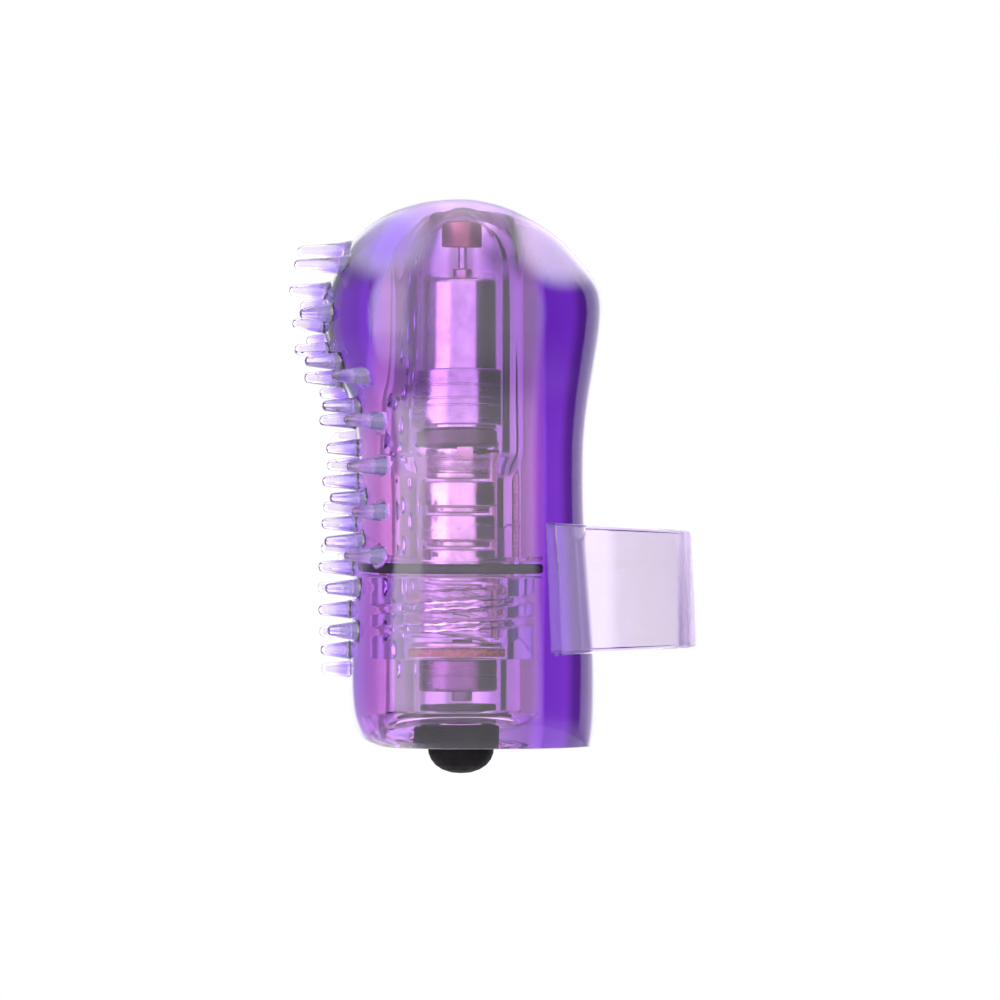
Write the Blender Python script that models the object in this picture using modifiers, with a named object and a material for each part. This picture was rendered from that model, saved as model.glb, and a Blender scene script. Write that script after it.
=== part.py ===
"""Finger-worn vibrating massager: a clear battery bullet in a soft sleeve with nubs and a finger loop.

Metres, +Z up. The origin is the centre of the finger loop. The bullet stands
upright in the sleeve at AXIS_X, the nubs point to -X, the loop is on +X.
Lengths below are in millimetres, measured from the sleeve's base and from
the bullet's axis, and mm() turns them into metres.
"""

import math

import bmesh
import bpy
from mathutils import Matrix, Vector

# ------------------------------------------------------------ driving sizes
AXIS_X = -0.0233          # bullet axis, seen from the finger loop's centre
BASE_Z = -0.02075         # sleeve base, seen from the finger loop's centre

SLEEVE_TOP = 72.7
POCKET_R = 9.35
POCKET_DOME_Z = 61.1      # centre of the pocket's round end
WALL_GAP = 0.35
LOOP_LOW, LOOP_HIGH = 12.1, 29.5
LOOP_WALL = 1.5
LOOP_X0 = 9.0             # centre of the loop's half ellipse
LOOP_REACH = 22.5
LOOP_HALF_Y = 13.0
LOOP_FLARE = 0.7

NUB_BASE_R, NUB_TIP_R = 1.2, 0.66

HOUSING_R = 9.0
DOME_Z = 61.1
MOTOR_BORE_R = 7.3
CELL_BORE_R = 6.3
CELL_BORE_TOP = 36.5
SHOULDER_Z = 24.3
NECK_ROOT_R, NECK_CREST_R = 7.35, 7.95
NECK_END_Z = 14.4

CAP_TOP_Z, CAP_BASE_Z = 22.4, 3.4
CAP_BORE_R, CAP_CREST_R = 8.25, 7.6
CAP_LEDGE_R, CAP_LEDGE_Z = 7.0, 11.6
CAP_FLOOR_Z = 4.6
CAP_EDGE_R = 2.4
BUTTON_HOLE_R = 4.8

THREAD_PITCH = 2.8
THREAD_TURNS = 2.5

SEAL_R_IN, SEAL_R_OUT = 8.25, 9.05

CELL_R, CELL_NECK_R, CELL_H, CELL_NECK_H, CELL_PITCH = 5.8, 4.9, 4.2, 0.8, 4.5
CELL_TOP_Z = 34.9
SWITCH_R = 6.2

CAN_R, CAN_WALL, CAN_LOW, CAN_HIGH = 6.2, 0.5, 42.2, 60.7
SHAFT_R = 0.75
BUTTON_R, BUTTON_TIP_Z = 4.4, -3.7

SEG = 28                  # sides of a large turned piece


def mm(value):
    return value / 1000.0


# ---------------------------------------------------------------- clear scene
for old in list(bpy.data.objects):
    bpy.data.objects.remove(old, do_unlink=True)

part_collection = bpy.data.collections.new("finger_massager")
cutter_collection = bpy.data.collections.new("cutters")
bpy.context.scene.collection.children.link(part_collection)
bpy.context.scene.collection.children.link(cutter_collection)

frame = bpy.data.objects.new("bullet_axis", None)
part_collection.objects.link(frame)
frame.location = (AXIS_X, 0.0, BASE_Z)


# ------------------------------------------------------------------- helpers
def material(name, colour, roughness=0.4, metallic=0.0, alpha=1.0, transmission=0.0):
    made = bpy.data.materials.new(name)
    made.use_nodes = True
    shader = made.node_tree.nodes["Principled BSDF"]
    shader.inputs["Base Color"].default_value = (*colour, 1.0)
    shader.inputs["Roughness"].default_value = roughness
    shader.inputs["Metallic"].default_value = metallic
    shader.inputs["Alpha"].default_value = alpha
    shader.inputs["Transmission Weight"].default_value = transmission
    made.diffuse_color = (*colour, alpha)
    return made


def place(obj, where=(0.0, 0.0, 0.0), cutter=False, mat=None):
    """Puts an object in its collection, at a point in millimetres from the bullet's frame."""
    for collection in list(obj.users_collection):
        collection.objects.unlink(obj)
    (cutter_collection if cutter else part_collection).objects.link(obj)
    obj.parent = frame
    obj.location = tuple(mm(value) for value in where)
    if cutter:
        obj.hide_render = True
        obj.display_type = "WIRE"
    if mat is not None:
        obj.data.materials.clear()
        obj.data.materials.append(mat)
    return obj


def smooth(obj, angle=35.0):
    obj.data.shade_smooth()
    obj.data.set_sharp_from_angle(angle=math.radians(angle))


def object_from_bmesh(name, bm):
    mesh = bpy.data.meshes.new(name)
    bmesh.ops.recalc_face_normals(bm, faces=bm.faces)
    bm.to_mesh(mesh)
    bm.free()
    return bpy.data.objects.new(name, mesh)


def turned(name, profile, steps=SEG, where=(0, 0, 0), cutter=False, mat=None, closed=True):
    """A turned solid: a Screw modifier on a profile of (radius, height) points, which runs down the outer side."""
    mesh = bpy.data.meshes.new(name)
    points = [(mm(r), 0.0, mm(z)) for r, z in profile]
    edges = [(i, i + 1) for i in range(len(points) - 1)]
    if closed:
        edges.append((len(points) - 1, 0))
    mesh.from_pydata(points, edges, [])
    obj = bpy.data.objects.new(name, mesh)
    place(obj, where, cutter, None)
    screw = obj.modifiers.new("turn", "SCREW")
    screw.axis = "Z"
    screw.angle = math.tau
    screw.steps = screw.render_steps = steps
    screw.use_merge_vertices = True
    screw.merge_threshold = 0.00001
    screw.use_smooth_shade = True
    if mat is not None:
        mesh.materials.append(mat)
    return obj


def cut(obj, other, operation="DIFFERENCE"):
    boolean = obj.modifiers.new(operation.lower(), "BOOLEAN")
    boolean.object = other
    boolean.operation = operation
    boolean.solver = "EXACT"
    return boolean


def box(name, low, high, cutter=False, mat=None, bevel=0.0, turn_z=0.0):
    """A block between two corners in millimetres, turned about the bullet's axis."""
    size = [mm(b - a) for a, b in zip(low, high)]
    centre = Vector([mm((a + b) / 2) for a, b in zip(low, high)])
    bm = bmesh.new()
    bmesh.ops.create_cube(bm, size=1.0)
    bmesh.ops.scale(bm, vec=Vector(size), verts=bm.verts)
    bmesh.ops.translate(bm, vec=centre, verts=bm.verts)
    if bevel:
        bmesh.ops.bevel(bm, geom=list(bm.edges), offset=mm(bevel), segments=1, affect="EDGES", profile=0.5)
    if turn_z:
        bmesh.ops.rotate(bm, cent=(0, 0, 0), matrix=Matrix.Rotation(turn_z, 3, "Z"), verts=bm.verts)
    obj = object_from_bmesh(name, bm)
    return place(obj, cutter=cutter, mat=mat)


def ring_profile(r_in, r_out, low, high, edge=0.0):
    """The cross-section of a ring, with its outer corners broken by edge."""
    if edge:
        return [
            (r_in, high), (r_out - edge, high), (r_out, high - edge),
            (r_out, low + edge), (r_out - edge, low), (r_in, low),
        ]
    return [(r_in, high), (r_out, high), (r_out, low), (r_in, low)]


def disc_profile(r, low, high, edge=0.0):
    if edge:
        return [(0.0, high), (r - edge, high), (r, high - edge), (r, low + edge), (r - edge, low), (0.0, low)]
    return [(0.0, high), (r, high), (r, low), (0.0, low)]


def arc(centre, radius, start, end, count):
    """Points (radius, height) on a circle or ellipse in the turning plane, angles in degrees from +R."""
    rr, rz = radius if isinstance(radius, tuple) else (radius, radius)
    out = []
    for i in range(count + 1):
        t = math.radians(start + (end - start) * i / count)
        out.append((max(0.0, centre[0] + rr * math.cos(t)), centre[1] + rz * math.sin(t)))
    return out


def along(table, z):
    """A smooth value at height z from a table of (height, value), by cubic steps between its rows."""
    if z <= table[0][0]:
        return table[0][1]
    if z >= table[-1][0]:
        return table[-1][1]
    for i in range(len(table) - 1):
        z0, v0 = table[i]
        z1, v1 = table[i + 1]
        if z0 <= z <= z1:
            before = table[i - 1] if i else (2 * z0 - z1, 2 * v0 - v1)
            after = table[i + 2] if i + 2 < len(table) else (2 * z1 - z0, 2 * v1 - v0)
            m0 = (v1 - before[1]) / (z1 - before[0]) * (z1 - z0)
            m1 = (after[1] - v0) / (after[0] - z0) * (z1 - z0)
            t = (z - z0) / (z1 - z0)
            return (
                (2 * t**3 - 3 * t**2 + 1) * v0 + (t**3 - 2 * t**2 + t) * m0
                + (-2 * t**3 + 3 * t**2) * v1 + (t**3 - t**2) * m1
            )
    return table[-1][1]


def helix_ridge(name, base_r, crest_r, base_half, crest_half, z_start, turns, per_turn=24, mat=None):
    """A trapezoid ridge along a right-handed helix, tapered at both ends."""
    bm = bmesh.new()
    count = int(turns * per_turn)
    rings = []
    for i in range(count + 1):
        angle = math.tau * i / per_turn
        z = z_start + THREAD_PITCH * i / per_turn
        fade = min(1.0, min(i, count - i) / 5.0)
        top = base_r + (crest_r - base_r) * max(0.12, fade)
        inside = base_r - math.copysign(0.35, crest_r - base_r)
        ring = []
        for r, dz in ((inside, -base_half), (base_r, -base_half), (top, -crest_half), (top, crest_half), (base_r, base_half), (inside, base_half)):
            ring.append(bm.verts.new((mm(r) * math.cos(angle), mm(r) * math.sin(angle), mm(z + dz))))
        rings.append(ring)
    for a, b in zip(rings, rings[1:]):
        for j in range(6):
            k = (j + 1) % 6
            bm.faces.new((a[j], a[k], b[k], b[j]))
    bm.faces.new(rings[0])
    bm.faces.new(list(reversed(rings[-1])))
    return place(object_from_bmesh(name, bm), cutter=True, mat=mat)


# ----------------------------------------------------------------- materials
SOFT_VIOLET = material("soft_violet", (0.42, 0.25, 0.80), 0.15, 0.0, 0.55, 0.8)
CLEAR_ORCHID = material("clear_orchid", (0.62, 0.25, 0.78), 0.08, 0.0, 0.5, 0.9)
BLACK_RUBBER = material("black_rubber", (0.015, 0.014, 0.016), 0.55)
BRIGHT_STEEL = material("bright_steel", (0.78, 0.76, 0.78), 0.25, 1.0)
NICKEL = material("nickel", (0.72, 0.68, 0.68), 0.3, 1.0)
BRASS = material("brass", (0.72, 0.45, 0.26), 0.35, 1.0)
DARK_PLASTIC = material("dark_plastic", (0.03, 0.025, 0.03), 0.45)
BOARD = material("board", (0.55, 0.24, 0.08), 0.5)
COPPER = material("copper", (0.75, 0.33, 0.16), 0.35, 1.0)
MAGNET = material("magnet", (0.09, 0.09, 0.095), 0.6)
TUNGSTEN = material("sintered_weight", (0.46, 0.30, 0.30), 0.45, 1.0)
CARBON = material("carbon", (0.02, 0.02, 0.02), 0.7)
BLACK_WIRE = material("black_wire", (0.02, 0.02, 0.022), 0.5)

# ------------------------------------------------------------- finger sleeve
# Reach of the outline at each height: to the loop side, to the nub side and to each flank.
BACK = [(0, 17.2), (1.2, 17.45), (4, 17.75), (12, 17.85), (20.7, 17.35), (29.6, 16.8), (39.3, 16.75), (44.7, 17.2),
        (50, 18.0), (54.7, 18.7), (58, 18.9), (60.7, 18.35), (64.4, 15.75), (68, 12.2), (70.7, 7.9), (72, 4.8), (72.6, 2.3)]
NOSE = [(0, 11.0), (0.9, 12.9), (2.7, 14.0), (4.7, 14.5), (7.3, 14.75), (12.7, 14.8), (19.3, 14.7), (27.3, 14.1),
        (38, 13.7), (42, 14.1), (46, 14.9), (48.7, 16.4), (51.7, 17.4), (55.3, 18.2), (59.3, 18.1), (62, 17.3),
        (64.7, 16.0), (67.7, 13.95), (70.7, 10.0), (72.3, 5.4), (72.6, 3.3)]
FLANK = [(0, 12.3), (1.2, 13.3), (4, 14.0), (12, 14.2), (24, 14.1), (36, 13.8), (44, 14.2), (52, 15.3), (57, 15.7),
         (62, 14.7), (66, 12.4), (69.5, 9.0), (71.6, 5.4), (72.6, 2.4)]
CHANNEL = [(0, 0.0), (9, 0.35), (16, 0.9), (30, 1.3), (46, 1.4), (56, 1.2), (62, 0.3), (66, 0.0), (72.7, 0.0)]
SECTION_POWER = 2.15      # roundness of the nub side
BACK_POWER = 2.7          # the loop side is squarer
CHANNEL_HALF = 4.5
LOOP_TAPER = 1.0          # how much the band narrows from above and below at its far end
SLEEVE_LEVELS = [0.0, 0.9, 2.7, 5.2, 9.0, 14.0, 20.0, 26.0, 32.0, 37.0, 41.0, 44.5, 47.5, 50.5, 53.5, 56.5, 59.3,
                 62.0, 64.5, 66.7, 68.7, 70.3, 71.5, 72.3]
SLEEVE_AROUND = 40


def sleeve_point(angle, z):
    c, s = math.cos(angle), math.sin(angle)
    reach = along(BACK, z) if c >= 0 else along(NOSE, z)
    half = along(FLANK, z)
    power = BACK_POWER if c >= 0 else SECTION_POWER
    x = reach * math.copysign(abs(c) ** (2 / power), c)
    y = half * math.copysign(abs(s) ** (2 / power), s)
    if c > 0:
        x -= along(CHANNEL, z) * math.exp(-((y / CHANNEL_HALF) ** 2)) * min(1.0, c * 2.0)
    return x, y


def sleeve_body():
    bm = bmesh.new()
    rings = []
    for z in SLEEVE_LEVELS:
        ring = []
        for i in range(SLEEVE_AROUND):
            x, y = sleeve_point(math.tau * i / SLEEVE_AROUND, z)
            ring.append(bm.verts.new((mm(x), mm(y), mm(z))))
        rings.append(ring)
    for a, b in zip(rings, rings[1:]):
        for i in range(SLEEVE_AROUND):
            j = (i + 1) % SLEEVE_AROUND
            bm.faces.new((a[i], a[j], b[j], b[i]))
    bm.faces.new(list(reversed(rings[0])))
    tip = bm.verts.new((mm(0.2), 0.0, mm(SLEEVE_TOP)))
    top = rings[-1]
    for i in range(SLEEVE_AROUND):
        bm.faces.new((top[i], top[(i + 1) % SLEEVE_AROUND], tip))
    return place(object_from_bmesh("finger_sleeve", bm), mat=SOFT_VIOLET)


def loop_strap():
    """The finger loop: an open half ellipse band, thickened by Solidify, with both ends inside the sleeve's flanks."""
    bm = bmesh.new()
    rows = []
    across = 28
    for step in range(4):
        rise = step / 3
        flare = LOOP_FLARE * (1 - step / 3) - LOOP_FLARE / 2
        row = []
        for i in range(across + 1):
            t = math.radians(-104 + 208 * i / across)
            x = LOOP_X0 + (LOOP_REACH - LOOP_WALL / 2 + flare) * math.cos(t)
            narrow = LOOP_TAPER * max(0.0, math.cos(t))
            z = LOOP_LOW + narrow + (LOOP_HIGH - LOOP_LOW - 2 * narrow) * rise
            y = (LOOP_HALF_Y - LOOP_WALL / 2) * math.sin(t)
            row.append(bm.verts.new((mm(x), mm(y), mm(z))))
        rows.append(row)
    for a, b in zip(rows, rows[1:]):
        for i in range(across):
            bm.faces.new((a[i], a[i + 1], b[i + 1], b[i]))
    strap = place(object_from_bmesh("loop_strap", bm), cutter=True)
    solid = strap.modifiers.new("wall", "SOLIDIFY")
    solid.thickness = mm(LOOP_WALL)
    solid.offset = 0.0
    return strap


# The nubs, by column: the column's distance from the middle plane, then each nub's height and how far its tip stands
# out from the bullet's axis.
NUB_COLUMNS = {
    0.0: [(12.7, 18.7), (18.1, 19.0), (23.7, 19.0), (29.5, 18.6), (35.1, 18.5), (39.6, 18.0), (43.3, 18.9),
          (48.8, 20.9), (52.5, 22.2), (56.0, 22.5), (60.4, 22.9), (65.8, 21.8)],
    -4.4: [(15.3, 18.0), (20.9, 18.3), (27.1, 18.4), (32.7, 17.7), (44.9, 18.7), (50.8, 21.0), (57.2, 21.7), (63.5, 22.4)],
    4.4: [(10.1, 18.4), (15.2, 18.7), (20.9, 18.9), (26.4, 18.5), (31.7, 18.2), (37.5, 17.7), (47.1, 18.7),
          (54.0, 20.5), (58.8, 21.3)],
    -8.6: [(25.1, 16.0), (30.9, 15.1), (36.9, 15.7), (42.8, 16.1), (48.7, 17.7)],
    8.6: [(25.1, 16.0), (30.9, 15.1), (36.2, 15.7), (41.6, 16.5), (48.2, 17.7)],
}


def nose_reach(y, z):
    """How far the sleeve's nub side lies from the bullet's axis, at a distance y from the middle plane."""
    half = along(FLANK, z)
    s = min(0.999, abs(y) / half) ** (SECTION_POWER / 2)
    c = math.sqrt(max(0.0, 1 - s * s))
    return along(NOSE, z) * c ** (2 / SECTION_POWER)


def nub_group():
    """All nubs as one mesh of separate tapered pins with rounded tips; a union with the sleeve joins them."""
    bm = bmesh.new()
    sides = 8
    for y, column in NUB_COLUMNS.items():
        for z, tip in column:
            root = nose_reach(y, z) - 1.6
            stations = [(root, NUB_BASE_R), (tip - 2.2, NUB_BASE_R * 0.80), (tip - 0.45, NUB_TIP_R), (tip, NUB_TIP_R * 0.45)]
            rings = []
            for reach, r in stations:
                rings.append([
                    bm.verts.new((
                        mm(-reach), mm(y + r * math.cos(math.tau * (k + 0.5) / sides)), mm(z + r * math.sin(math.tau * (k + 0.5) / sides)),
                    ))
                    for k in range(sides)
                ])
            for a, b in zip(rings, rings[1:]):
                for k in range(sides):
                    j = (k + 1) % sides
                    bm.faces.new((a[k], b[k], b[j], a[j]))
            bm.faces.new(rings[0])
            bm.faces.new(list(reversed(rings[-1])))
    return place(object_from_bmesh("nub_group", bm), cutter=True)


sleeve = sleeve_body()
cut(sleeve, loop_strap(), "UNION")
cut(sleeve, nub_group(), "UNION")
pocket = turned(
    "pocket_cutter",
    [(0.0, POCKET_DOME_Z + POCKET_R)] + arc((0, POCKET_DOME_Z), POCKET_R, 90, 0, 8)[1:]
    + [(POCKET_R, -3.0), (0.0, -3.0)],
    steps=SEG, cutter=True, closed=False,
)
cut(sleeve, pocket)

# ------------------------------------------------------------- bullet housing
housing = turned(
    "bullet_housing",
    arc((0, DOME_Z), HOUSING_R, 90, 0, 8)
    + [(HOUSING_R, 42.0), (HOUSING_R, SHOULDER_Z + 0.3), (HOUSING_R - 0.3, SHOULDER_Z), (NECK_ROOT_R, SHOULDER_Z),
       (NECK_ROOT_R, NECK_END_Z), (CELL_BORE_R, NECK_END_Z), (CELL_BORE_R, CELL_BORE_TOP), (MOTOR_BORE_R, CELL_BORE_TOP + 0.6)]
    + arc((0, DOME_Z), (MOTOR_BORE_R, 8.0), 0, 90, 7),
    mat=CLEAR_ORCHID, closed=False,
)
neck_ridge = helix_ridge(
    "neck_ridge", NECK_ROOT_R, NECK_CREST_R, 0.72, 0.40, NECK_END_Z + 0.85, THREAD_TURNS, mat=CLEAR_ORCHID
)
cut(housing, neck_ridge, "UNION")
cut(housing, box("strip_groove", (5.5, -1.6, NECK_END_Z - 1.0), (7.0, 1.6, CELL_BORE_TOP + 2.0), cutter=True))

# ---------------------------------------------------------- cap, seal, board
cap = turned(
    "end_cap",
    [(CAP_BORE_R, CAP_TOP_Z), (HOUSING_R - 0.3, CAP_TOP_Z), (HOUSING_R, CAP_TOP_Z - 0.3)]
    + arc((HOUSING_R - CAP_EDGE_R, CAP_BASE_Z + CAP_EDGE_R), CAP_EDGE_R, 0, -90, 4)
    + [(BUTTON_HOLE_R, CAP_BASE_Z), (BUTTON_HOLE_R, CAP_FLOOR_Z), (CAP_LEDGE_R, CAP_FLOOR_Z), (CAP_LEDGE_R, CAP_LEDGE_Z),
       (CAP_BORE_R, CAP_LEDGE_Z)],
    mat=CLEAR_ORCHID,
)
cap_ridge = helix_ridge(
    "cap_ridge", CAP_BORE_R, CAP_CREST_R, 0.62, 0.30, NECK_END_Z + 0.85 - THREAD_PITCH / 2,
    THREAD_TURNS, mat=CLEAR_ORCHID
)
cut(cap, cap_ridge, "UNION")

turned("o_ring", [(SEAL_R_IN, 24.0), (SEAL_R_OUT - 0.3, 24.0), (SEAL_R_OUT, 23.7), (SEAL_R_OUT, 23.0),
                  (SEAL_R_OUT - 0.3, 22.7), (SEAL_R_IN, 22.7)], mat=BLACK_RUBBER)
turned("circuit_board", disc_profile(7.7, 11.9, 12.9), steps=24, mat=BOARD)
turned("contact_ring", ring_profile(6.4, 7.2, 13.2, 13.7), steps=24, mat=BRASS)
box("driver_chip", (-1.5, -1.5, 13.2), (1.5, 1.5, 14.1), mat=DARK_PLASTIC, bevel=0.15)

turned(
    "switch_body",
    [(0.0, 11.6), (SWITCH_R - 0.3, 11.6), (SWITCH_R, 11.3), (SWITCH_R, 7.8), (SWITCH_R - 0.4, 7.4), (2.0, 7.4), (2.0, 10.2), (0.0, 10.2)],
    steps=24, mat=NICKEL, closed=False,
)
turned("switch_plunger", disc_profile(1.6, 6.15, 9.1, 0.2), steps=16, mat=DARK_PLASTIC, closed=False)


def coil(name, radius_low, radius_high, z_low, z_high, turns, wire_r, mat):
    """A compression spring whose end turns lie flat, as a round wire along a poly spline."""
    curve = bpy.data.curves.new(name, "CURVE")
    curve.dimensions = "3D"
    curve.fill_mode = "FULL"
    curve.bevel_depth = mm(wire_r)
    curve.bevel_resolution = 0
    curve.use_fill_caps = True
    spline = curve.splines.new("POLY")
    per_turn = 12
    count = int(turns * per_turn)
    spline.points.add(count)
    for i in range(count + 1):
        t = i / count
        flat = 0.9 / turns
        rise = min(1.0, max(0.0, (t - flat) / (1 - 2 * flat)))
        z = z_low + wire_r + (z_high - z_low - 2 * wire_r) * rise
        r = radius_low + (radius_high - radius_low) * t
        angle = math.tau * turns * t
        spline.points[i].co = (mm(r * math.cos(angle)), mm(r * math.sin(angle)), mm(z), 1.0)
    obj = bpy.data.objects.new(name, curve)
    return place(obj, mat=mat)


coil("battery_spring", 4.9, 3.0, 13.2, 21.35, 4.4, 0.28, NICKEL)

# --------------------------------------------------------------------- cells
for number in range(3):
    top = CELL_TOP_Z - CELL_PITCH * number
    low = top - CELL_H
    turned(
        f"button_cell_{number + 1}",
        [(0.0, top), (CELL_R - 0.25, top), (CELL_R, top - 0.25), (CELL_R, low + CELL_NECK_H + 0.35), (CELL_R - 0.35, low + CELL_NECK_H),
         (CELL_NECK_R, low + CELL_NECK_H), (CELL_NECK_R, low + 0.2), (CELL_NECK_R - 0.2, low), (0.0, low)],
        steps=24, mat=BRIGHT_STEEL, closed=False,
    )

# --------------------------------------------------------------------- motor
turned(
    "front_contact",
    [(0.0, 39.5), (4.8, 39.5), (5.0, 39.3), (5.0, 37.9), (4.7, 37.7), (4.7, 37.5), (5.0, 37.3), (5.0, 36.3), (4.7, 36.1),
     (4.7, 35.9), (5.0, 35.7), (5.0, 35.2), (0.0, 35.2)],
    steps=20, mat=NICKEL, closed=False,
)
turned(
    "motor_can",
    [(CAN_R - CAN_WALL, CAN_LOW), (CAN_R - CAN_WALL, CAN_HIGH - 0.6), (1.9, CAN_HIGH - 0.6), (1.9, CAN_HIGH),
     (CAN_R - 0.5, CAN_HIGH), (CAN_R, CAN_HIGH - 0.5), (CAN_R, CAN_LOW)],
    mat=BRIGHT_STEEL,
)
turned("motor_bush", ring_profile(1.05, 1.6, 59.2, 61.3), steps=16, mat=BRASS)
turned(
    "motor_end_bell",
    [(0.0, 40.6), (1.1, 40.6), (1.1, 41.9), (CAN_R, 41.9), (CAN_R, 39.9), (0.0, 39.9)],
    steps=SEG, mat=DARK_PLASTIC, closed=False,
)


def magnet(name, centre_angle):
    """A magnet tile: a sector of a ring, thickened from an open arc by Solidify."""
    bm = bmesh.new()
    rows = [[], []]
    for i in range(13):
        angle = math.radians(centre_angle - 58 + 116 * i / 12)
        for row, z in zip(rows, (45.6, 57.2)):
            row.append(bm.verts.new((mm(4.85) * math.cos(angle), mm(4.85) * math.sin(angle), mm(z))))
    for i in range(12):
        bm.faces.new((rows[0][i], rows[0][i + 1], rows[1][i + 1], rows[1][i]))
    tile = place(object_from_bmesh(name, bm), mat=MAGNET)
    solid = tile.modifiers.new("tile", "SOLIDIFY")
    solid.thickness = mm(1.0)
    solid.offset = 0.0
    return tile


magnet("motor_magnet_left", 180)
magnet("motor_magnet_right", 0)


def armature():
    """A three-pole lamination stack: a flat outline of three T-shaped poles, extruded."""
    curve = bpy.data.curves.new("armature_core", "CURVE")
    curve.dimensions = "2D"
    curve.fill_mode = "BOTH"
    curve.extrude = mm(7.6 / 2)
    outline = curve.splines.new("POLY")
    points = []
    for pole in range(3):
        middle = math.radians(90 + 120 * pole)
        for r, off in ((1.75, -48), (3.0, -14), (3.05, -40), (3.85, -46), (3.9, -23), (3.9, 0), (3.9, 23), (3.85, 46), (3.05, 40), (3.0, 14)):
            points.append((r * math.cos(middle + math.radians(off)), r * math.sin(middle + math.radians(off))))
    outline.points.add(len(points) - 1)
    for target, (x, y) in zip(outline.points, points):
        target.co = (mm(x), mm(y), 0.0, 1.0)
    outline.use_cyclic_u = True
    bore = curve.splines.new("POLY")
    bore.points.add(15)
    for i, target in enumerate(bore.points):
        angle = -math.tau * i / 16
        target.co = (mm(1.06 * math.cos(angle)), mm(1.06 * math.sin(angle)), 0.0, 1.0)
    bore.use_cyclic_u = True
    return place(bpy.data.objects.new("armature_core", curve), (0, 0, 51.4), mat=NICKEL)


armature()
turned("winding_upper", [(1.5, 57.0), (2.9, 57.0), (3.5, 56.3), (3.4, 55.6), (1.5, 55.6)], steps=24, mat=COPPER)
turned("winding_lower", [(1.7, 47.2), (3.4, 47.2), (3.5, 46.5), (2.9, 45.8), (1.7, 45.8)], steps=24, mat=COPPER)
turned("commutator", ring_profile(1.06, 1.65, 42.9, 45.4), steps=16, mat=COPPER)
turned("motor_shaft", disc_profile(SHAFT_R, 41.0, 66.6, 0.1), steps=16, mat=BRIGHT_STEEL, closed=False)

weight = turned("eccentric_weight", ring_profile(1.06, 3.4, 64.0, 67.7, 0.25), steps=28, mat=TUNGSTEN)
cut(weight, box("weight_relief", (-4.0, 1.75, 63.0), (4.0, 5.0, 69.0), cutter=True))

box("brush_left", (-2.45, -0.5, 43.4), (-2.0, 0.5, 44.9), mat=CARBON)
box("brush_right", (2.0, -0.5, 43.4), (2.45, 0.5, 44.9), mat=CARBON)
box("motor_terminal_positive", (-1.0, 5.4, 37.6), (1.0, 5.7, 39.6), mat=BRASS)
box("motor_terminal_negative", (-1.0, -5.7, 37.6), (1.0, -5.4, 39.6), mat=BRASS)
box("contact_strip", (6.45, -1.2, 14.0), (6.7, 1.2, 40.6), mat=BRASS)


def collar():
    """A split ring round the motor, open where the contact strip's side is."""
    bm = bmesh.new()
    rows = [[], []]
    for i in range(25):
        angle = math.radians(30 + 300 * i / 24)
        for row, z in zip(rows, (42.6, 50.2)):
            row.append(bm.verts.new((mm(6.75) * math.cos(angle), mm(6.75) * math.sin(angle), mm(z))))
    for i in range(24):
        bm.faces.new((rows[0][i], rows[0][i + 1], rows[1][i + 1], rows[1][i]))
    ring = place(object_from_bmesh("motor_collar", bm), mat=BRIGHT_STEEL)
    solid = ring.modifiers.new("wall", "SOLIDIFY")
    solid.thickness = mm(0.45)
    solid.offset = 0.0


collar()


def lead(name, points, wire_r, mat):
    curve = bpy.data.curves.new(name, "CURVE")
    curve.dimensions = "3D"
    curve.fill_mode = "FULL"
    curve.bevel_depth = mm(wire_r)
    curve.bevel_resolution = 1
    curve.use_fill_caps = True
    spline = curve.splines.new("POLY")
    spline.points.add(len(points) - 1)
    for target, (x, y, z) in zip(spline.points, points):
        target.co = (mm(x), mm(y), mm(z), 1.0)
    return place(bpy.data.objects.new(name, curve), mat=mat)


lead(
    "negative_lead",
    [(6.35 * math.cos(math.radians(a)), 6.35 * math.sin(math.radians(a)), 38.6 + 0.35 * math.sin(math.radians(3 * (a + 76))))
     for a in range(-76, -14, 6)],
    0.28, BLACK_WIRE,
)

# -------------------------------------------------------------------- button
turned(
    "push_button",
    [(0.0, 5.8), (5.9, 5.8), (6.0, 5.7), (6.0, 4.95), (BUTTON_R, 4.95), (BUTTON_R, -0.3), (4.32, -1.0), (4.05, -1.8), (3.5, -2.5),
     (2.6, -3.1), (1.4, -3.55), (0.0, BUTTON_TIP_Z)],
    steps=24, mat=BLACK_RUBBER, closed=False,
)

for made in part_collection.objects:
    if made.type == "MESH" and not any(m.type == "SCREW" for m in made.modifiers) and made.name not in (
        "driver_chip", "brush_left", "brush_right", "motor_terminal_positive", "motor_terminal_negative", "contact_strip",
    ):
        smooth(made)
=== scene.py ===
"""The looks of a finger-worn vibrating massager: a clear battery bullet in a soft violet sleeve.

Lengths are in millimetres from the bullet's axis and the sleeve's base, as in the CAD, and at() turns them into
metres in the row frame.
"""

import math

import bmesh
import bpy
from mathutils import Matrix, Vector, noise


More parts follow.
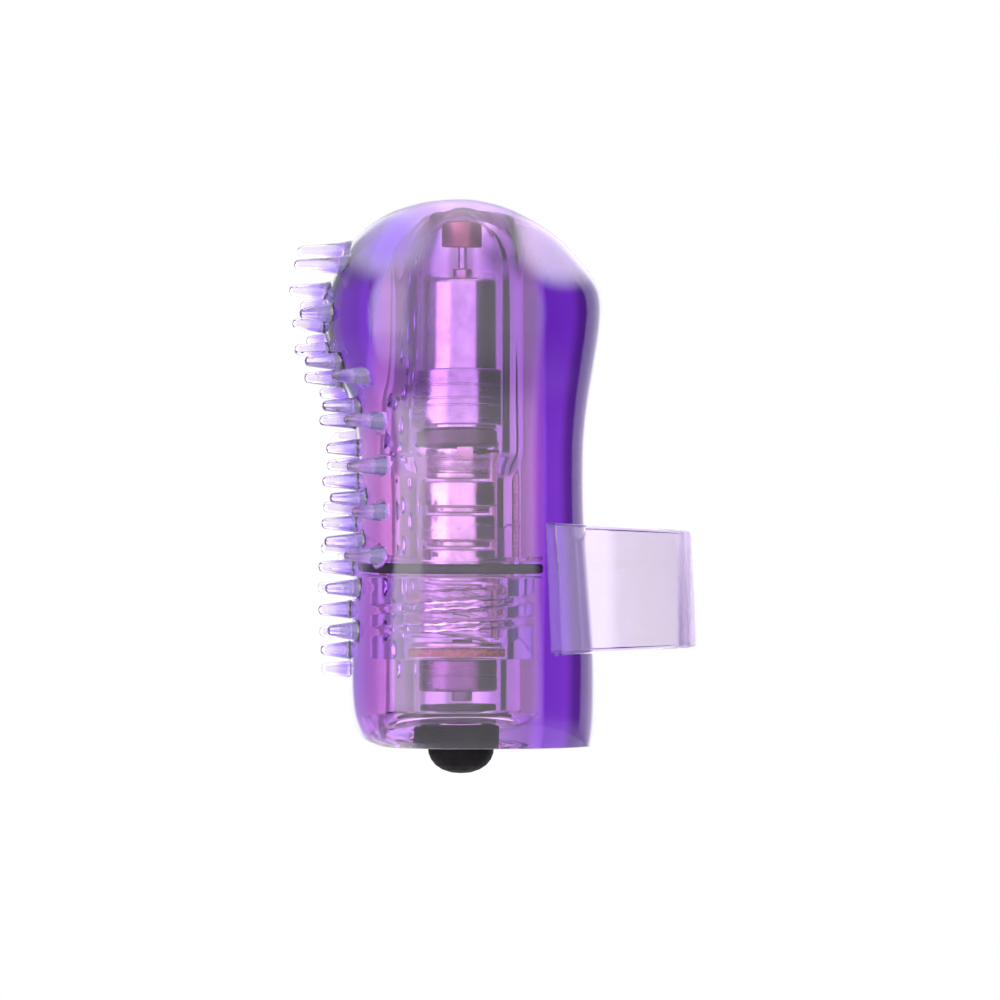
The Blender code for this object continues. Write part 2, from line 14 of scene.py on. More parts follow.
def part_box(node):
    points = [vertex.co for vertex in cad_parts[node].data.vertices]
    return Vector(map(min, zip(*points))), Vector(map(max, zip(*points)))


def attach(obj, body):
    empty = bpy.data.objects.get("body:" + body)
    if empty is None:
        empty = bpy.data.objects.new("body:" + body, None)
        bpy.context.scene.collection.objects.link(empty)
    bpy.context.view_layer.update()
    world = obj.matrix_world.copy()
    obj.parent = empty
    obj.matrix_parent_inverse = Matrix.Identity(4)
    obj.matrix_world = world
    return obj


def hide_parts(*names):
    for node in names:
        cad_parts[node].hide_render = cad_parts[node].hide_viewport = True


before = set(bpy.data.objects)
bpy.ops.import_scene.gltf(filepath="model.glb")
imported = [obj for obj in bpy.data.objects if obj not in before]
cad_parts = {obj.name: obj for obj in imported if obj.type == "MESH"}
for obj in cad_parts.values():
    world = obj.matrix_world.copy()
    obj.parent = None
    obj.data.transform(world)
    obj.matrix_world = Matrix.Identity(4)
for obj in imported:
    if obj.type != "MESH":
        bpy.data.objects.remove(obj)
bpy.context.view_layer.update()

_low, _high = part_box("bullet_housing")
AXIS_X = (_low[0] + _high[0]) / 2
BASE_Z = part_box("finger_sleeve")[0][2]

# ------------------------------------------------------------ sizes shared with the CAD
SLEEVE_TOP = 72.7
POCKET_R, POCKET_DOME_Z = 9.35, 61.1
LOOP_LOW, LOOP_HIGH, LOOP_WALL = 12.1, 29.5, 1.5
LOOP_X0, LOOP_REACH, LOOP_HALF_Y, LOOP_FLARE = 9.0, 22.5, 13.0, 0.7
NUB_BASE_R, NUB_TIP_R = 1.2, 0.66
HOUSING_R, DOME_Z = 9.0, 61.1
MOTOR_BORE_R, CELL_BORE_R, CELL_BORE_TOP = 7.3, 6.3, 36.5
SHOULDER_Z, NECK_ROOT_R, NECK_CREST_R, NECK_END_Z = 24.3, 7.35, 7.95, 14.4
CAP_TOP_Z, CAP_BASE_Z, CAP_BORE_R, CAP_CREST_R = 22.4, 3.4, 8.25, 7.6
CAP_LEDGE_R, CAP_LEDGE_Z, CAP_FLOOR_Z, CAP_EDGE_R, BUTTON_HOLE_R = 7.0, 11.6, 4.6, 2.4, 4.8
SWITCH_R = 6.2
THREAD_PITCH, THREAD_TURNS = 2.8, 2.5
SEAL_R_IN, SEAL_R_OUT = 8.25, 9.05
CELL_R, CELL_NECK_R, CELL_H, CELL_NECK_H, CELL_PITCH, CELL_TOP_Z = 5.8, 4.9, 4.2, 0.8, 4.5, 34.9
CAN_R, CAN_WALL, CAN_LOW, CAN_HIGH = 6.2, 0.5, 42.2, 60.7
SHAFT_R, BUTTON_R, BUTTON_TIP_Z = 0.75, 4.4, -3.7

BACK = [(0, 17.2), (1.2, 17.45), (4, 17.75), (12, 17.85), (20.7, 17.35), (29.6, 16.8), (39.3, 16.75), (44.7, 17.2),
        (50, 18.0), (54.7, 18.7), (58, 18.9), (60.7, 18.35), (64.4, 15.75), (68, 12.2), (70.7, 7.9), (72, 4.8), (72.6, 2.3)]
NOSE = [(0, 11.0), (0.9, 12.9), (2.7, 14.0), (4.7, 14.5), (7.3, 14.75), (12.7, 14.8), (19.3, 14.7), (27.3, 14.1),
        (38, 13.7), (42, 14.1), (46, 14.9), (48.7, 16.4), (51.7, 17.4), (55.3, 18.2), (59.3, 18.1), (62, 17.3),
        (64.7, 16.0), (67.7, 13.95), (70.7, 10.0), (72.3, 5.4), (72.6, 3.3)]
FLANK = [(0, 12.3), (1.2, 13.3), (4, 14.0), (12, 14.2), (24, 14.1), (36, 13.8), (44, 14.2), (52, 15.3), (57, 15.7),
         (62, 14.7), (66, 12.4), (69.5, 9.0), (71.6, 5.4), (72.6, 2.4)]
CHANNEL = [(0, 0.0), (9, 0.35), (16, 0.9), (30, 1.3), (46, 1.4), (56, 1.2), (62, 0.3), (66, 0.0), (72.7, 0.0)]
SECTION_POWER = 2.15      # roundness of the nub side
BACK_POWER = 2.7          # the loop side is squarer
CHANNEL_HALF = 4.5
LOOP_TAPER = 1.0          # how much the band narrows from above and below at its far end
NUB_COLUMNS = {
    0.0: [(12.7, 18.7), (18.1, 19.0), (23.7, 19.0), (29.5, 18.6), (35.1, 18.5), (39.6, 18.0), (43.3, 18.9),
          (48.8, 20.9), (52.5, 22.2), (56.0, 22.5), (60.4, 22.9), (65.8, 21.8)],
    -4.4: [(15.3, 18.0), (20.9, 18.3), (27.1, 18.4), (32.7, 17.7), (44.9, 18.7), (50.8, 21.0), (57.2, 21.7), (63.5, 22.4)],
    4.4: [(10.1, 18.4), (15.2, 18.7), (20.9, 18.9), (26.4, 18.5), (31.7, 18.2), (37.5, 17.7), (47.1, 18.7),
          (54.0, 20.5), (58.8, 21.3)],
    -8.6: [(25.1, 16.0), (30.9, 15.1), (36.9, 15.7), (42.8, 16.1), (48.7, 17.7)],
    8.6: [(25.1, 16.0), (30.9, 15.1), (36.2, 15.7), (41.6, 16.5), (48.2, 17.7)],
}


def at(x, y, z):
    return Vector((AXIS_X + x / 1000, y / 1000, BASE_Z + z / 1000))


def along(table, z):
    if z <= table[0][0]:
        return table[0][1]
    if z >= table[-1][0]:
        return table[-1][1]
    for i in range(len(table) - 1):
        z0, v0 = table[i]
        z1, v1 = table[i + 1]
        if z0 <= z <= z1:
            before = table[i - 1] if i else (2 * z0 - z1, 2 * v0 - v1)
            after = table[i + 2] if i + 2 < len(table) else (2 * z1 - z0, 2 * v1 - v0)
            m0 = (v1 - before[1]) / (z1 - before[0]) * (z1 - z0)
            m1 = (after[1] - v0) / (after[0] - z0) * (z1 - z0)
            t = (z - z0) / (z1 - z0)
            return (
                (2 * t**3 - 3 * t**2 + 1) * v0 + (t**3 - 2 * t**2 + t) * m0
                + (-2 * t**3 + 3 * t**2) * v1 + (t**3 - t**2) * m1
            )
    return table[-1][1]


def step(a, b, x):
    t = min(1.0, max(0.0, (x - a) / (b - a)))
    return t * t * (3 - 2 * t)


# ------------------------------------------------------------------ node helper
class Shade:
    """A material's node tree, with short calls for the nodes used here."""

    def __init__(self, name):
        self.mat = bpy.data.materials.new(name)
        self.mat.use_nodes = True
        self.tree = self.mat.node_tree
        self.nodes = self.tree.nodes
        self.shader = self.nodes["Principled BSDF"]
        self.out = self.nodes["Material Output"]
        self._coord = None

    def add(self, kind, **settings):
        node = self.nodes.new(kind)
        for key, value in settings.items():
            setattr(node, key, value)
        return node

    def put(self, value, socket):
        if isinstance(value, bpy.types.NodeSocket):
            self.tree.links.new(value, socket)
        else:
            socket.default_value = value

    @property
    def coord(self):
        if self._coord is None:
            self._coord = self.add("ShaderNodeTexCoord").outputs["Object"]
        return self._coord

    def math(self, operation, a, b=None, clamp=False):
        node = self.add("ShaderNodeMath", operation=operation, use_clamp=clamp)
        self.put(a, node.inputs[0])
        if b is not None:
            self.put(b, node.inputs[1])
        return node.outputs[0]

    def xyz(self):
        node = self.add("ShaderNodeSeparateXYZ")
        self.put(self.coord, node.inputs[0])
        return node.outputs

    def radius(self):
        x, y, _ = self.xyz()
        x = self.math("SUBTRACT", x, AXIS_X)
        return self.math("SQRT", self.math("ADD", self.math("MULTIPLY", x, x), self.math("MULTIPLY", y, y)))

    def from_core(self):
        """Distance from the bullet's axis and, above its cylinder, from the middle of its round end."""
        over = self.math("MAXIMUM", self.math("SUBTRACT", self.xyz()[2], BASE_Z + POCKET_DOME_Z / 1000), 0.0)
        r = self.radius()
        return self.math("SQRT", self.math("ADD", self.math("MULTIPLY", r, r), self.math("MULTIPLY", over, over)))

    def ramp_between(self, value, start, end, low=0.0, high=1.0, smooth=True):
        node = self.add("ShaderNodeMapRange", interpolation_type="SMOOTHSTEP" if smooth else "LINEAR", clamp=True)
        self.put(value, node.inputs["Value"])
        node.inputs["From Min"].default_value = start
        node.inputs["From Max"].default_value = end
        node.inputs["To Min"].default_value = low
        node.inputs["To Max"].default_value = high
        return node.outputs["Result"]

    def stretch(self, scale):
        node = self.add("ShaderNodeMapping")
        self.put(self.coord, node.inputs["Vector"])
        node.inputs["Scale"].default_value = scale
        return node.outputs["Vector"]

    def noise(self, scale, detail=3.0, rough=0.5, vector=None):
        node = self.add("ShaderNodeTexNoise")
        self.put(vector if vector is not None else self.coord, node.inputs["Vector"])
        node.inputs["Scale"].default_value = scale
        node.inputs["Detail"].default_value = detail
        node.inputs["Roughness"].default_value = rough
        return node.outputs["Fac"]

    def mix(self, fac, a, b):
        node = self.add("ShaderNodeMix", data_type="RGBA")
        self.put(fac, node.inputs[0])
        self.put(a if isinstance(a, bpy.types.NodeSocket) else (*a, 1.0), node.inputs[6])
        self.put(b if isinstance(b, bpy.types.NodeSocket) else (*b, 1.0), node.inputs[7])
        return node.outputs[2]

    def bump(self, height, distance, strength=1.0):
        node = self.add("ShaderNodeBump")
        node.inputs["Strength"].default_value = strength
        node.inputs["Distance"].default_value = distance
        self.put(height, node.inputs["Height"])
        self.tree.links.new(node.outputs["Normal"], self.shader.inputs["Normal"])
        return node

    def set(self, **values):
        for key, value in values.items():
            self.put(value, self.shader.inputs[key.replace("_", " ")])
        return self

    def absorb(self, per_mm):
        """Clear body colour: absorption for each millimetre of path, by channel."""
        density = max(per_mm) * 1000 * 1.02
        node = self.add("ShaderNodeVolumeAbsorption")
        node.inputs["Color"].default_value = (*[1 - value * 1000 / density for value in per_mm], 1.0)
        node.inputs["Density"].default_value = density
        self.tree.links.new(node.outputs["Volume"], self.out.inputs["Volume"])


SLEEVE_ABSORB = (0.093, 0.160, 0.050)
PLASTIC_ABSORB = (0.012, 0.036, 0.047)
# Painted shade on the finger loop's far bend: how much clearness it loses, and its darker tint.
BEND_SHADE_AMOUNT, BEND_SHADE_TINT = 0.70, (0.50, 0.34, 0.68)
SOFT_IOR, PLASTIC_IOR = 1.48, 1.50
FROST_LOW, FROST_HIGH = 0.75, 0.95
CONTACT_LEFT, CONTACT_RIGHT, CONTACT_FRONT = 52.4, 58.8, 69.6     # height where the bullet stops touching its pocket
CONTACT_SPAN = 1.0


def contact_height(s):
    """Where the bullet and the pocket part: lowest at the nub and loop sides, close to the tip between them, and a little ragged."""
    x, y, _ = s.xyz()
    across = s.math("DIVIDE", s.math("SUBTRACT", x, AXIS_X), POCKET_R / 1000)
    side = s.ramp_between(across, -0.35, 0.35, CONTACT_LEFT, CONTACT_RIGHT)
    share = s.math("DIVIDE", across, CONTACT_SPAN)
    rise = s.math("POWER", s.math("MAXIMUM", s.math("SUBTRACT", 1.0, s.math("MULTIPLY", share, share)), 0.0), 0.3)
    height = s.math("ADD", side, s.math("MULTIPLY", rise, s.math("SUBTRACT", CONTACT_FRONT, side)))
    ragged = s.math("MULTIPLY", s.math("SUBTRACT", s.noise(260.0, 2.0), 0.5), 2.4)
    return s.math("ADD", s.math("MULTIPLY", s.math("ADD", height, ragged), 0.001), BASE_Z)


def touching(s, r_from, r_to, z_low, top=None):
    """1 where a wall between two radii is wetted by its neighbour, so that light crosses it unbent."""
    r = s.from_core()
    _, _, z = s.xyz()
    inside = s.math("MULTIPLY", s.ramp_between(r, r_from - 0.00008, r_from, 0, 1, False),
                    s.ramp_between(r, r_to, r_to + 0.00008, 1, 0, False))
    above = s.ramp_between(z, BASE_Z + z_low / 1000, BASE_Z + z_low / 1000 + 0.0002, 0, 1, False)
    if top is None:
        top = contact_height(s)
        below = s.ramp_between(s.math("SUBTRACT", top, z), 0.0, 0.00025, 0, 1, False)
    else:
        below = s.ramp_between(z, BASE_Z + top / 1000 - 0.0002, BASE_Z + top / 1000, 1, 0, False)
    return s.math("MULTIPLY", s.math("MULTIPLY", inside, above), below)


def soft_violet():
    s = Shade("soft_violet_rubber")
    wet = touching(s, 0.0090, 0.0096, 0.5)
    skin = s.mix(s.noise(90.0, 2.0), (1.0, 1.0, 1.0), (0.965, 0.955, 1.0))
    s.set(Metallic=0.0, IOR=SOFT_IOR,
          Roughness=s.ramp_between(s.noise(400.0, 3.0), 0.35, 0.75, 0.0, 0.035),
          Alpha=s.math("SUBTRACT", 1.0, s.math("MULTIPLY", wet, 0.985)))
    # The pocket's wall is moulded matt, which shows wherever the bullet doesn't wet it.
    brush = s.noise(1.0, 3.0, 0.6, s.stretch((260.0, 260.0, 60.0)))
    out = s.from_core()
    dry = s.math("MULTIPLY", s.ramp_between(out, 0.0096, 0.00975, 1.0, 0.0, False), s.ramp_between(brush, 0.3, 0.7, FROST_LOW, FROST_HIGH))
    # Painted light: a deep violet, less clear patch on the outer skin over the shoulder on the nub side and round each
    # nub's foot, standing in for light carried through the rubber where those places render dark.
    x, _, z = s.xyz()
    away = s.math("SQRT", s.math("ADD", s.math("POWER", s.math("SUBTRACT", x, AXIS_X - 0.0105), 2.0),
                                 s.math("POWER", s.math("SUBTRACT", z, BASE_Z + 0.067), 2.0)))
    foot = s.add("ShaderNodeAttribute", attribute_name="foot", attribute_type="GEOMETRY").outputs["Fac"]
    cloudy_tone_and_painted_light = s.math("MAXIMUM", s.ramp_between(away, 0.002, 0.007, 0.24, 0.0), s.math("MULTIPLY", foot, 0.2))
    cloudy_tone_and_painted_light = s.math("MULTIPLY", cloudy_tone_and_painted_light, s.ramp_between(out, 0.0096, 0.00975, 0.0, 1.0, False))
    # Painted highlight: a pale, less clear patch on the outer skin where the thick skin turns over the other shoulder,
    # standing in for a reflection of the studio light there.
    along = s.math("SQRT", s.math("ADD", s.math("POWER", s.math("SUBTRACT", x, AXIS_X + 0.0125), 2.0),
                                  s.math("POWER", s.math("SUBTRACT", z, BASE_Z + 0.0665), 2.0)))
    painted_highlight = s.math("MULTIPLY", s.ramp_between(along, 0.0035, 0.0075, 0.32, 0.0), s.ramp_between(out, 0.0096, 0.00975, 0.0, 1.0, False))
    # Painted shade: the finger loop's far bend is made less clear and tinted darker lavender, standing in for the
    # shading across its curve.
    bend_shade = s.ramp_between(x, AXIS_X + 0.0299, AXIS_X + 0.0308, 0.0, BEND_SHADE_AMOUNT)
    tint = s.mix(s.math("MULTIPLY", cloudy_tone_and_painted_light, 3.8), s.mix(s.math("MULTIPLY", dry, 1.1), skin, (0.93, 0.79, 1.0)), (0.38, 0.22, 0.88))
    tint = s.mix(s.math("MULTIPLY", bend_shade, 1.3), tint, BEND_SHADE_TINT)
    # The bend's painted shade joins the painted light in taking clearness from the skin.
    cloudy_tone_and_painted_light = s.math("ADD", cloudy_tone_and_painted_light, bend_shade)
    s.set(Transmission_Weight=s.math("SUBTRACT", 1.0, s.math("MINIMUM", s.math("ADD", s.math("ADD", dry, cloudy_tone_and_painted_light), painted_highlight), 1.0)),
          Base_Color=s.mix(s.math("MULTIPLY", painted_highlight, 2.4), tint, (0.77, 0.55, 1.0)))
    s.bump(s.noise(170.0, 2.0), 0.00006, 0.5)
    s.absorb(SLEEVE_ABSORB)
    return s.mat


def clear_orchid(name, r_from, r_to, z_low, top=None):
    s = Shade(name)
    wet = touching(s, r_from, r_to, z_low, top)
    streaks = s.noise(1.0, 3.0, 0.6, s.stretch((700.0, 700.0, 30.0)))
    s.set(Base_Color=s.mix(s.noise(140.0, 2.0), (1.0, 1.0, 1.0), (1.0, 0.965, 0.99)), IOR=PLASTIC_IOR,
          Transmission_Weight=1.0, Roughness=s.ramp_between(streaks, 0.4, 0.8, 0.0, 0.05),
          Alpha=s.math("SUBTRACT", 1.0, s.math("MULTIPLY", wet, 0.985)))
    s.bump(streaks, 0.00004, 0.35)
    s.absorb(PLASTIC_ABSORB)
    return s.mat


def metal(name, light, dark, rough_low, rough_high, grain=(60.0, 60.0, 1500.0), bump=0.00002, spots=0.0):
    """Turned or drawn metal: fine lines one way, cloudier colour over them and a few dull spots."""
    s = Shade(name)
    lines = s.noise(1.0, 3.0, 0.6, s.stretch(grain))
    cloudy_tone_and_painted_light = s.noise(420.0, 4.0, 0.6)
    tint = s.mix(s.ramp_between(cloudy_tone_and_painted_light, 0.3, 0.75), light, dark)
    if spots:
        tint = s.mix(s.ramp_between(s.noise(1300.0, 2.0), 0.62, 0.72, 0.0, spots), tint, tuple(v * 0.45 for v in dark))
    s.set(Base_Color=tint, Metallic=1.0, Roughness=s.ramp_between(lines, 0.3, 0.7, rough_low, rough_high))
    s.bump(lines, bump, 0.6)
    return s.mat


def moulded(name, light, dark, rough_low, rough_high, scale=900.0, bump=0.00003, specular=0.5):
    """Opaque moulded plastic or rubber with a fine grain."""
    s = Shade(name)
    grain = s.noise(scale, 4.0, 0.6)
    s.set(Base_Color=s.mix(s.ramp_between(s.noise(scale / 4, 3.0), 0.3, 0.7), light, dark),
          Roughness=s.ramp_between(grain, 0.3, 0.7, rough_low, rough_high), Specular_IOR_Level=specular)
    s.bump(grain, bump, 0.6)
    return s.mat


def board_material():
    s = Shade("circuit_board")
    rows = s.add("ShaderNodeTexVoronoi", feature="DISTANCE_TO_EDGE")
    s.put(s.coord, rows.inputs["Vector"])
    rows.inputs["Scale"].default_value = 700.0
    tracks = s.ramp_between(rows.outputs["Distance"], 0.05, 0.12)
    base = s.mix(s.noise(700.0), (0.46, 0.19, 0.07), (0.32, 0.12, 0.04))
    s.set(Base_Color=s.mix(tracks, (0.56, 0.30, 0.14), base), Roughness=s.ramp_between(tracks, 0.0, 1.0, 0.3, 0.5))
    s.bump(tracks, 0.00003, 0.5)
    return s.mat


def laminations():
    s = Shade("lamination_steel")
    _, _, z = s.xyz()
    wave = s.math("SINE", s.math("MULTIPLY", z, math.tau / 0.00035))
    s.set(Base_Color=s.mix(s.ramp_between(wave, -1, 1), (0.42, 0.41, 0.43), (0.68, 0.66, 0.68)), Metallic=1.0,
          Roughness=s.ramp_between(s.noise(900.0), 0.3, 0.7, 0.3, 0.5))
    s.bump(wave, 0.00002, 0.5)
    return s.mat


def wound_copper():
    s = Shade("enamelled_copper")
    r = s.radius()
    _, _, z = s.xyz()
    wave = s.math("SINE", s.math("MULTIPLY", s.math("ADD", r, z), math.tau / 0.00022))
    s.set(Base_Color=s.mix(s.ramp_between(wave, -1, 1), (0.32, 0.10, 0.04), (0.86, 0.38, 0.18)), Metallic=1.0,
          Roughness=s.ramp_between(s.noise(1200.0), 0.3, 0.7, 0.22, 0.4))
    s.bump(wave, 0.00006, 0.7)
    return s.mat


SOFT_VIOLET = soft_violet()
HOUSING_CLEAR = clear_orchid("clear_orchid_housing", 0.0088, 0.0092, 24.8)
CAP_CLEAR = clear_orchid("clear_orchid_cap", 0.0088, 0.0092, 3.4, 22.2)
CAN_STEEL = metal("drawn_steel", (0.90, 0.91, 0.84), (0.68, 0.68, 0.64), 0.12, 0.26, (1500.0, 1500.0, 60.0), spots=0.25)
CELL_STEEL = metal("cell_steel", (0.92, 0.93, 0.82), (0.72, 0.72, 0.63), 0.14, 0.28, (90.0, 90.0, 1400.0), spots=0.2)
COLLAR_STEEL = metal("spring_steel", (0.72, 0.68, 0.72), (0.52, 0.48, 0.53), 0.14, 0.3, (90.0, 90.0, 1500.0), spots=0.2)
NICKEL = metal("nickel_plate", (0.88, 0.88, 0.78), (0.64, 0.63, 0.56), 0.16, 0.34, (90.0, 90.0, 1600.0), spots=0.2)
BRASS = metal("brass", (0.82, 0.69, 0.60), (0.62, 0.50, 0.44), 0.2, 0.4)
COMMUTATOR_COPPER = metal("commutator_copper", (0.78, 0.36, 0.20), (0.55, 0.22, 0.11), 0.2, 0.35)
SWITCH_PLATE = metal("switch_plate", (0.29, 0.17, 0.27), (0.18, 0.10, 0.16), 0.22, 0.4, (90.0, 90.0, 300.0), spots=0.2)
SHAFT_STEEL = metal("ground_steel", (0.80, 0.78, 0.79), (0.62, 0.60, 0.62), 0.1, 0.22)
SINTERED = metal("sintered_weight", (0.50, 0.24, 0.22), (0.34, 0.15, 0.15), 0.32, 0.5, (500.0, 500.0, 500.0), 0.00004, 0.3)
BLACK_RUBBER = moulded("black_rubber", (0.003, 0.0024, 0.0034), (0.007, 0.0058, 0.0078), 0.55, 0.75, 1500.0, 0.00003, 0.06)
SEAL_RUBBER = moulded("seal_rubber", (0.014, 0.012, 0.010), (0.03, 0.026, 0.02), 0.3, 0.45, 1500.0, 0.00002, 0.4)
DARK_PLASTIC = moulded("dark_plastic", (0.035, 0.028, 0.032), (0.06, 0.05, 0.055), 0.35, 0.5)
PALE_PLASTIC = moulded("pale_plastic", (0.62, 0.56, 0.60), (0.50, 0.45, 0.48), 0.35, 0.5)
OLIVE_PLASTIC = moulded("end_bell_plastic", (0.17, 0.15, 0.12), (0.10, 0.085, 0.075), 0.35, 0.5)
CHIP_BLACK = moulded("chip_epoxy", (0.02, 0.02, 0.022), (0.035, 0.035, 0.038), 0.45, 0.6, 2200.0)
FERRITE = moulded("ferrite_magnet", (0.09, 0.09, 0.095), (0.05, 0.05, 0.055), 0.45, 0.65, 1500.0, 0.00005)
CARBON = moulded("brush_carbon", (0.03, 0.03, 0.032), (0.015, 0.015, 0.016), 0.4, 0.6, 2500.0)
WIRE_BLACK = moulded("wire_sleeve", (0.018, 0.018, 0.02), (0.03, 0.03, 0.032), 0.3, 0.42, 1500.0)
BOARD = board_material()
LAMINATIONS = laminations()
WOUND_COPPER = wound_copper()


def stands_for(obj, body, *nodes):
    """The finer piece rides on its body and stands for these CAD nodes, which it hides."""
    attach(obj, body)
    if nodes:
        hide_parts(*nodes)
    return obj


def flat_walls(obj):
    """Keeps a wide face flat in its shading beside a small rounded corner."""
    weigh = obj.modifiers.new("flat_walls", "WEIGHTED_NORMAL")
    weigh.weight = 100
    weigh.keep_sharp = True


def finish_mesh(name, bm, mat, body, nodes=(), slot=None, angle=38.0, normals=True):
    if normals:
        bmesh.ops.recalc_face_normals(bm, faces=bm.faces)
    mesh = bpy.data.meshes.new(name)
    bm.to_mesh(mesh)
    bm.free()
    obj = bpy.data.objects.new(name, mesh)
    bpy.context.scene.collection.objects.link(obj)
    mesh.shade_smooth()
    mesh.set_sharp_from_angle(angle=math.radians(angle))
    flat_walls(obj)
    if mat is not None:
        mesh.materials.append(mat)
    if body is not None:
        stands_for(obj, body, *nodes)
    return obj


def rounded(points, count=5, closed=True):
    """The outline with each corner that has a third number rounded by that radius."""
    out = []
    total = len(points)
    for i, p in enumerate(points):
        radius = p[2] if len(p) > 2 else 0.0
        if radius <= 0 or (not closed and i in (0, total - 1)):
            out.append((p[0], p[1]))
            continue
        before, here, after = (Vector(points[j][:2]) for j in (i - 1, i, (i + 1) % total))
        u, v = before - here, after - here
        reach = 0.49 * min(u.length, v.length)
        u.normalize()
        v.normalize()
        half = math.acos(max(-1.0, min(1.0, u.dot(v)))) / 2
        if half > 1.55:
            out.append((p[0], p[1]))
            continue
        back = min(radius / math.tan(half), reach)
        r = back * math.tan(half)
        centre = here + (u + v).normalized() * (r / math.sin(half))
        a0 = math.atan2(*(here + u * back - centre).yx)
        a1 = math.atan2(*(here + v * back - centre).yx)
        turn = (a1 - a0 + math.pi) % math.tau - math.pi
        for k in range(count + 1):
            a = a0 + turn * k / count
            out.append((max(0.0, centre.x + r * math.cos(a)), centre.y + r * math.sin(a)))
    return out


def arc(centre, radius, start, end, count):
    rr, rz = radius if isinstance(radius, tuple) else (radius, radius)
    return [
        (max(0.0, centre[0] + rr * math.cos(math.radians(start + (end - start) * i / count))),
         centre[1] + rz * math.sin(math.radians(start + (end - start) * i / count)))
        for i in range(count + 1)
    ]


def levels(r, start, end, pitch):
    """Points down a straight wall, closely spaced, for a thread to be drawn on."""
    count = max(1, round(abs(end - start) / pitch))
    return [(r, start + (end - start) * i / count) for i in range(count + 1)]


def lathe_bm(profile, steps=96, shape=None, closed=True):
    """A turned surface about the bullet's axis from (radius, height) points. shape(r, z, angle) may move a point."""
    bm = bmesh.new()
    columns = []
    for r, z in profile:
        if r < 1e-6:
            columns.append([bm.verts.new(at(0, 0, z))])
            continue
        ring = []
        for i in range(steps):
            a = math.tau * i / steps
            rr, zz = shape(r, z, a) if shape else (r, z)
            ring.append(bm.verts.new(at(rr * math.cos(a), rr * math.sin(a), zz)))
        columns.append(ring)
    pairs = list(zip(columns, columns[1:]))
    if closed:
        pairs.append((columns[-1], columns[0]))
    for a, b in pairs:
        if len(a) == 1 and len(b) == 1:
            continue
        for i in range(steps):
            j = (i + 1) % steps
            if len(a) == 1:
                bm.faces.new((a[0], b[i], b[j]))
            elif len(b) == 1:
                bm.faces.new((a[i], b[0], a[j]))
            else:
                bm.faces.new((a[i], b[i], b[j], a[j]))
    return bm


def lathe(name, profile, mat, body, nodes=(), steps=96, shape=None, slot=None, closed=True, angle=38.0):
    return finish_mesh(name, lathe_bm(profile, steps, shape, closed), mat, body, nodes, slot, angle)


def ridge(z, angle, z0, base_half, crest_half):
    """How far up a thread's ridge a point on the wall stands, 0 to 1."""
    best = 0.0
    for k in range(int(THREAD_TURNS) + 1):
        s = angle / math.tau + k
        if s > THREAD_TURNS:
            continue
        d = abs(z - (z0 + THREAD_PITCH * s))
        h = min(1.0, max(0.0, (base_half - d) / (base_half - crest_half)))
        fade = min(1.0, s / 0.2, (THREAD_TURNS - s) / 0.2)
        best = max(best, h * max(0.0, fade))
    return best


def evaluated(obj):
    """The object's mesh with its modifiers applied."""
    bpy.context.view_layer.update()
    graph = bpy.context.evaluated_depsgraph_get()
    return bpy.data.meshes.new_from_object(obj.evaluated_get(graph))


# ------------------------------------------------------------------ finger sleeve
AROUND = 144


def sleeve_point(angle, z):
    c, s = math.cos(angle), math.sin(angle)
    top = 72.6
    shrink = 1.0 if z <= top else math.sqrt(max(0.0, (SLEEVE_TOP - z) / (SLEEVE_TOP - top)))
    reach = (along(BACK, z) if c >= 0 else along(NOSE, z)) * shrink
    half = along(FLANK, z) * shrink
    power = SECTION_POWER + (BACK_POWER - SECTION_POWER) * step(-0.05, 0.35, c)
    x = reach * math.copysign(abs(c) ** (2 / power), c)
    y = half * math.copysign(abs(s) ** (2 / power), s)
    if c > 0:
        x -= along(CHANNEL, z) * math.exp(-((y / CHANNEL_HALF) ** 2)) * min(1.0, c * 2.0)
    return x, y


def sleeve_bm():
    zs = [0.0, 0.15, 0.35, 0.6, 0.9, 1.3, 1.8, 2.4, 3.2]
    z = 4.0
    while z < 60.0:
        zs.append(z)
        z += 0.8
    while z < 70.5:
        zs.append(z)
        z += 0.55
    zs += [70.9, 71.3, 71.65, 71.95, 72.2, 72.4, 72.52, 72.6, 72.65, 72.68, 72.695]
    bm = bmesh.new()
    rings = []
    for z in zs:
        rings.append([bm.verts.new(at(*sleeve_point(math.tau * i / AROUND, z), z)) for i in range(AROUND)])
    pocket = [(POCKET_R + 0.35, 0.0), (POCKET_R + 0.1, 0.1), (POCKET_R, 0.35), (POCKET_R, 8.0), (POCKET_R, 20.0), (POCKET_R, 34.0),
              (POCKET_R, 48.0)] + arc((0, POCKET_DOME_Z), POCKET_R, 0, 90, 26)
    inner = []
    for r, z in pocket[:-1]:
        inner.append([bm.verts.new(at(r * math.cos(math.tau * i / AROUND), r * math.sin(math.tau * i / AROUND), z)) for i in range(AROUND)])
    for a, b in zip(rings, rings[1:]):
        for i in range(AROUND):
            j = (i + 1) % AROUND
            bm.faces.new((a[i], a[j], b[j], b[i]))
    for a, b in zip([rings[0]] + inner, inner):
        for i in range(AROUND):
            j = (i + 1) % AROUND
            bm.faces.new((a[i], b[i], b[j], a[j]))
    for ring, z in ((rings[-1], SLEEVE_TOP), (inner[-1], POCKET_DOME_Z + POCKET_R)):
        tip = bm.verts.new(at(0.2 if ring is rings[-1] else 0.0, 0, z))
        for i in range(AROUND):
            bm.faces.new((ring[i], ring[(i + 1) % AROUND], tip))
    return bm


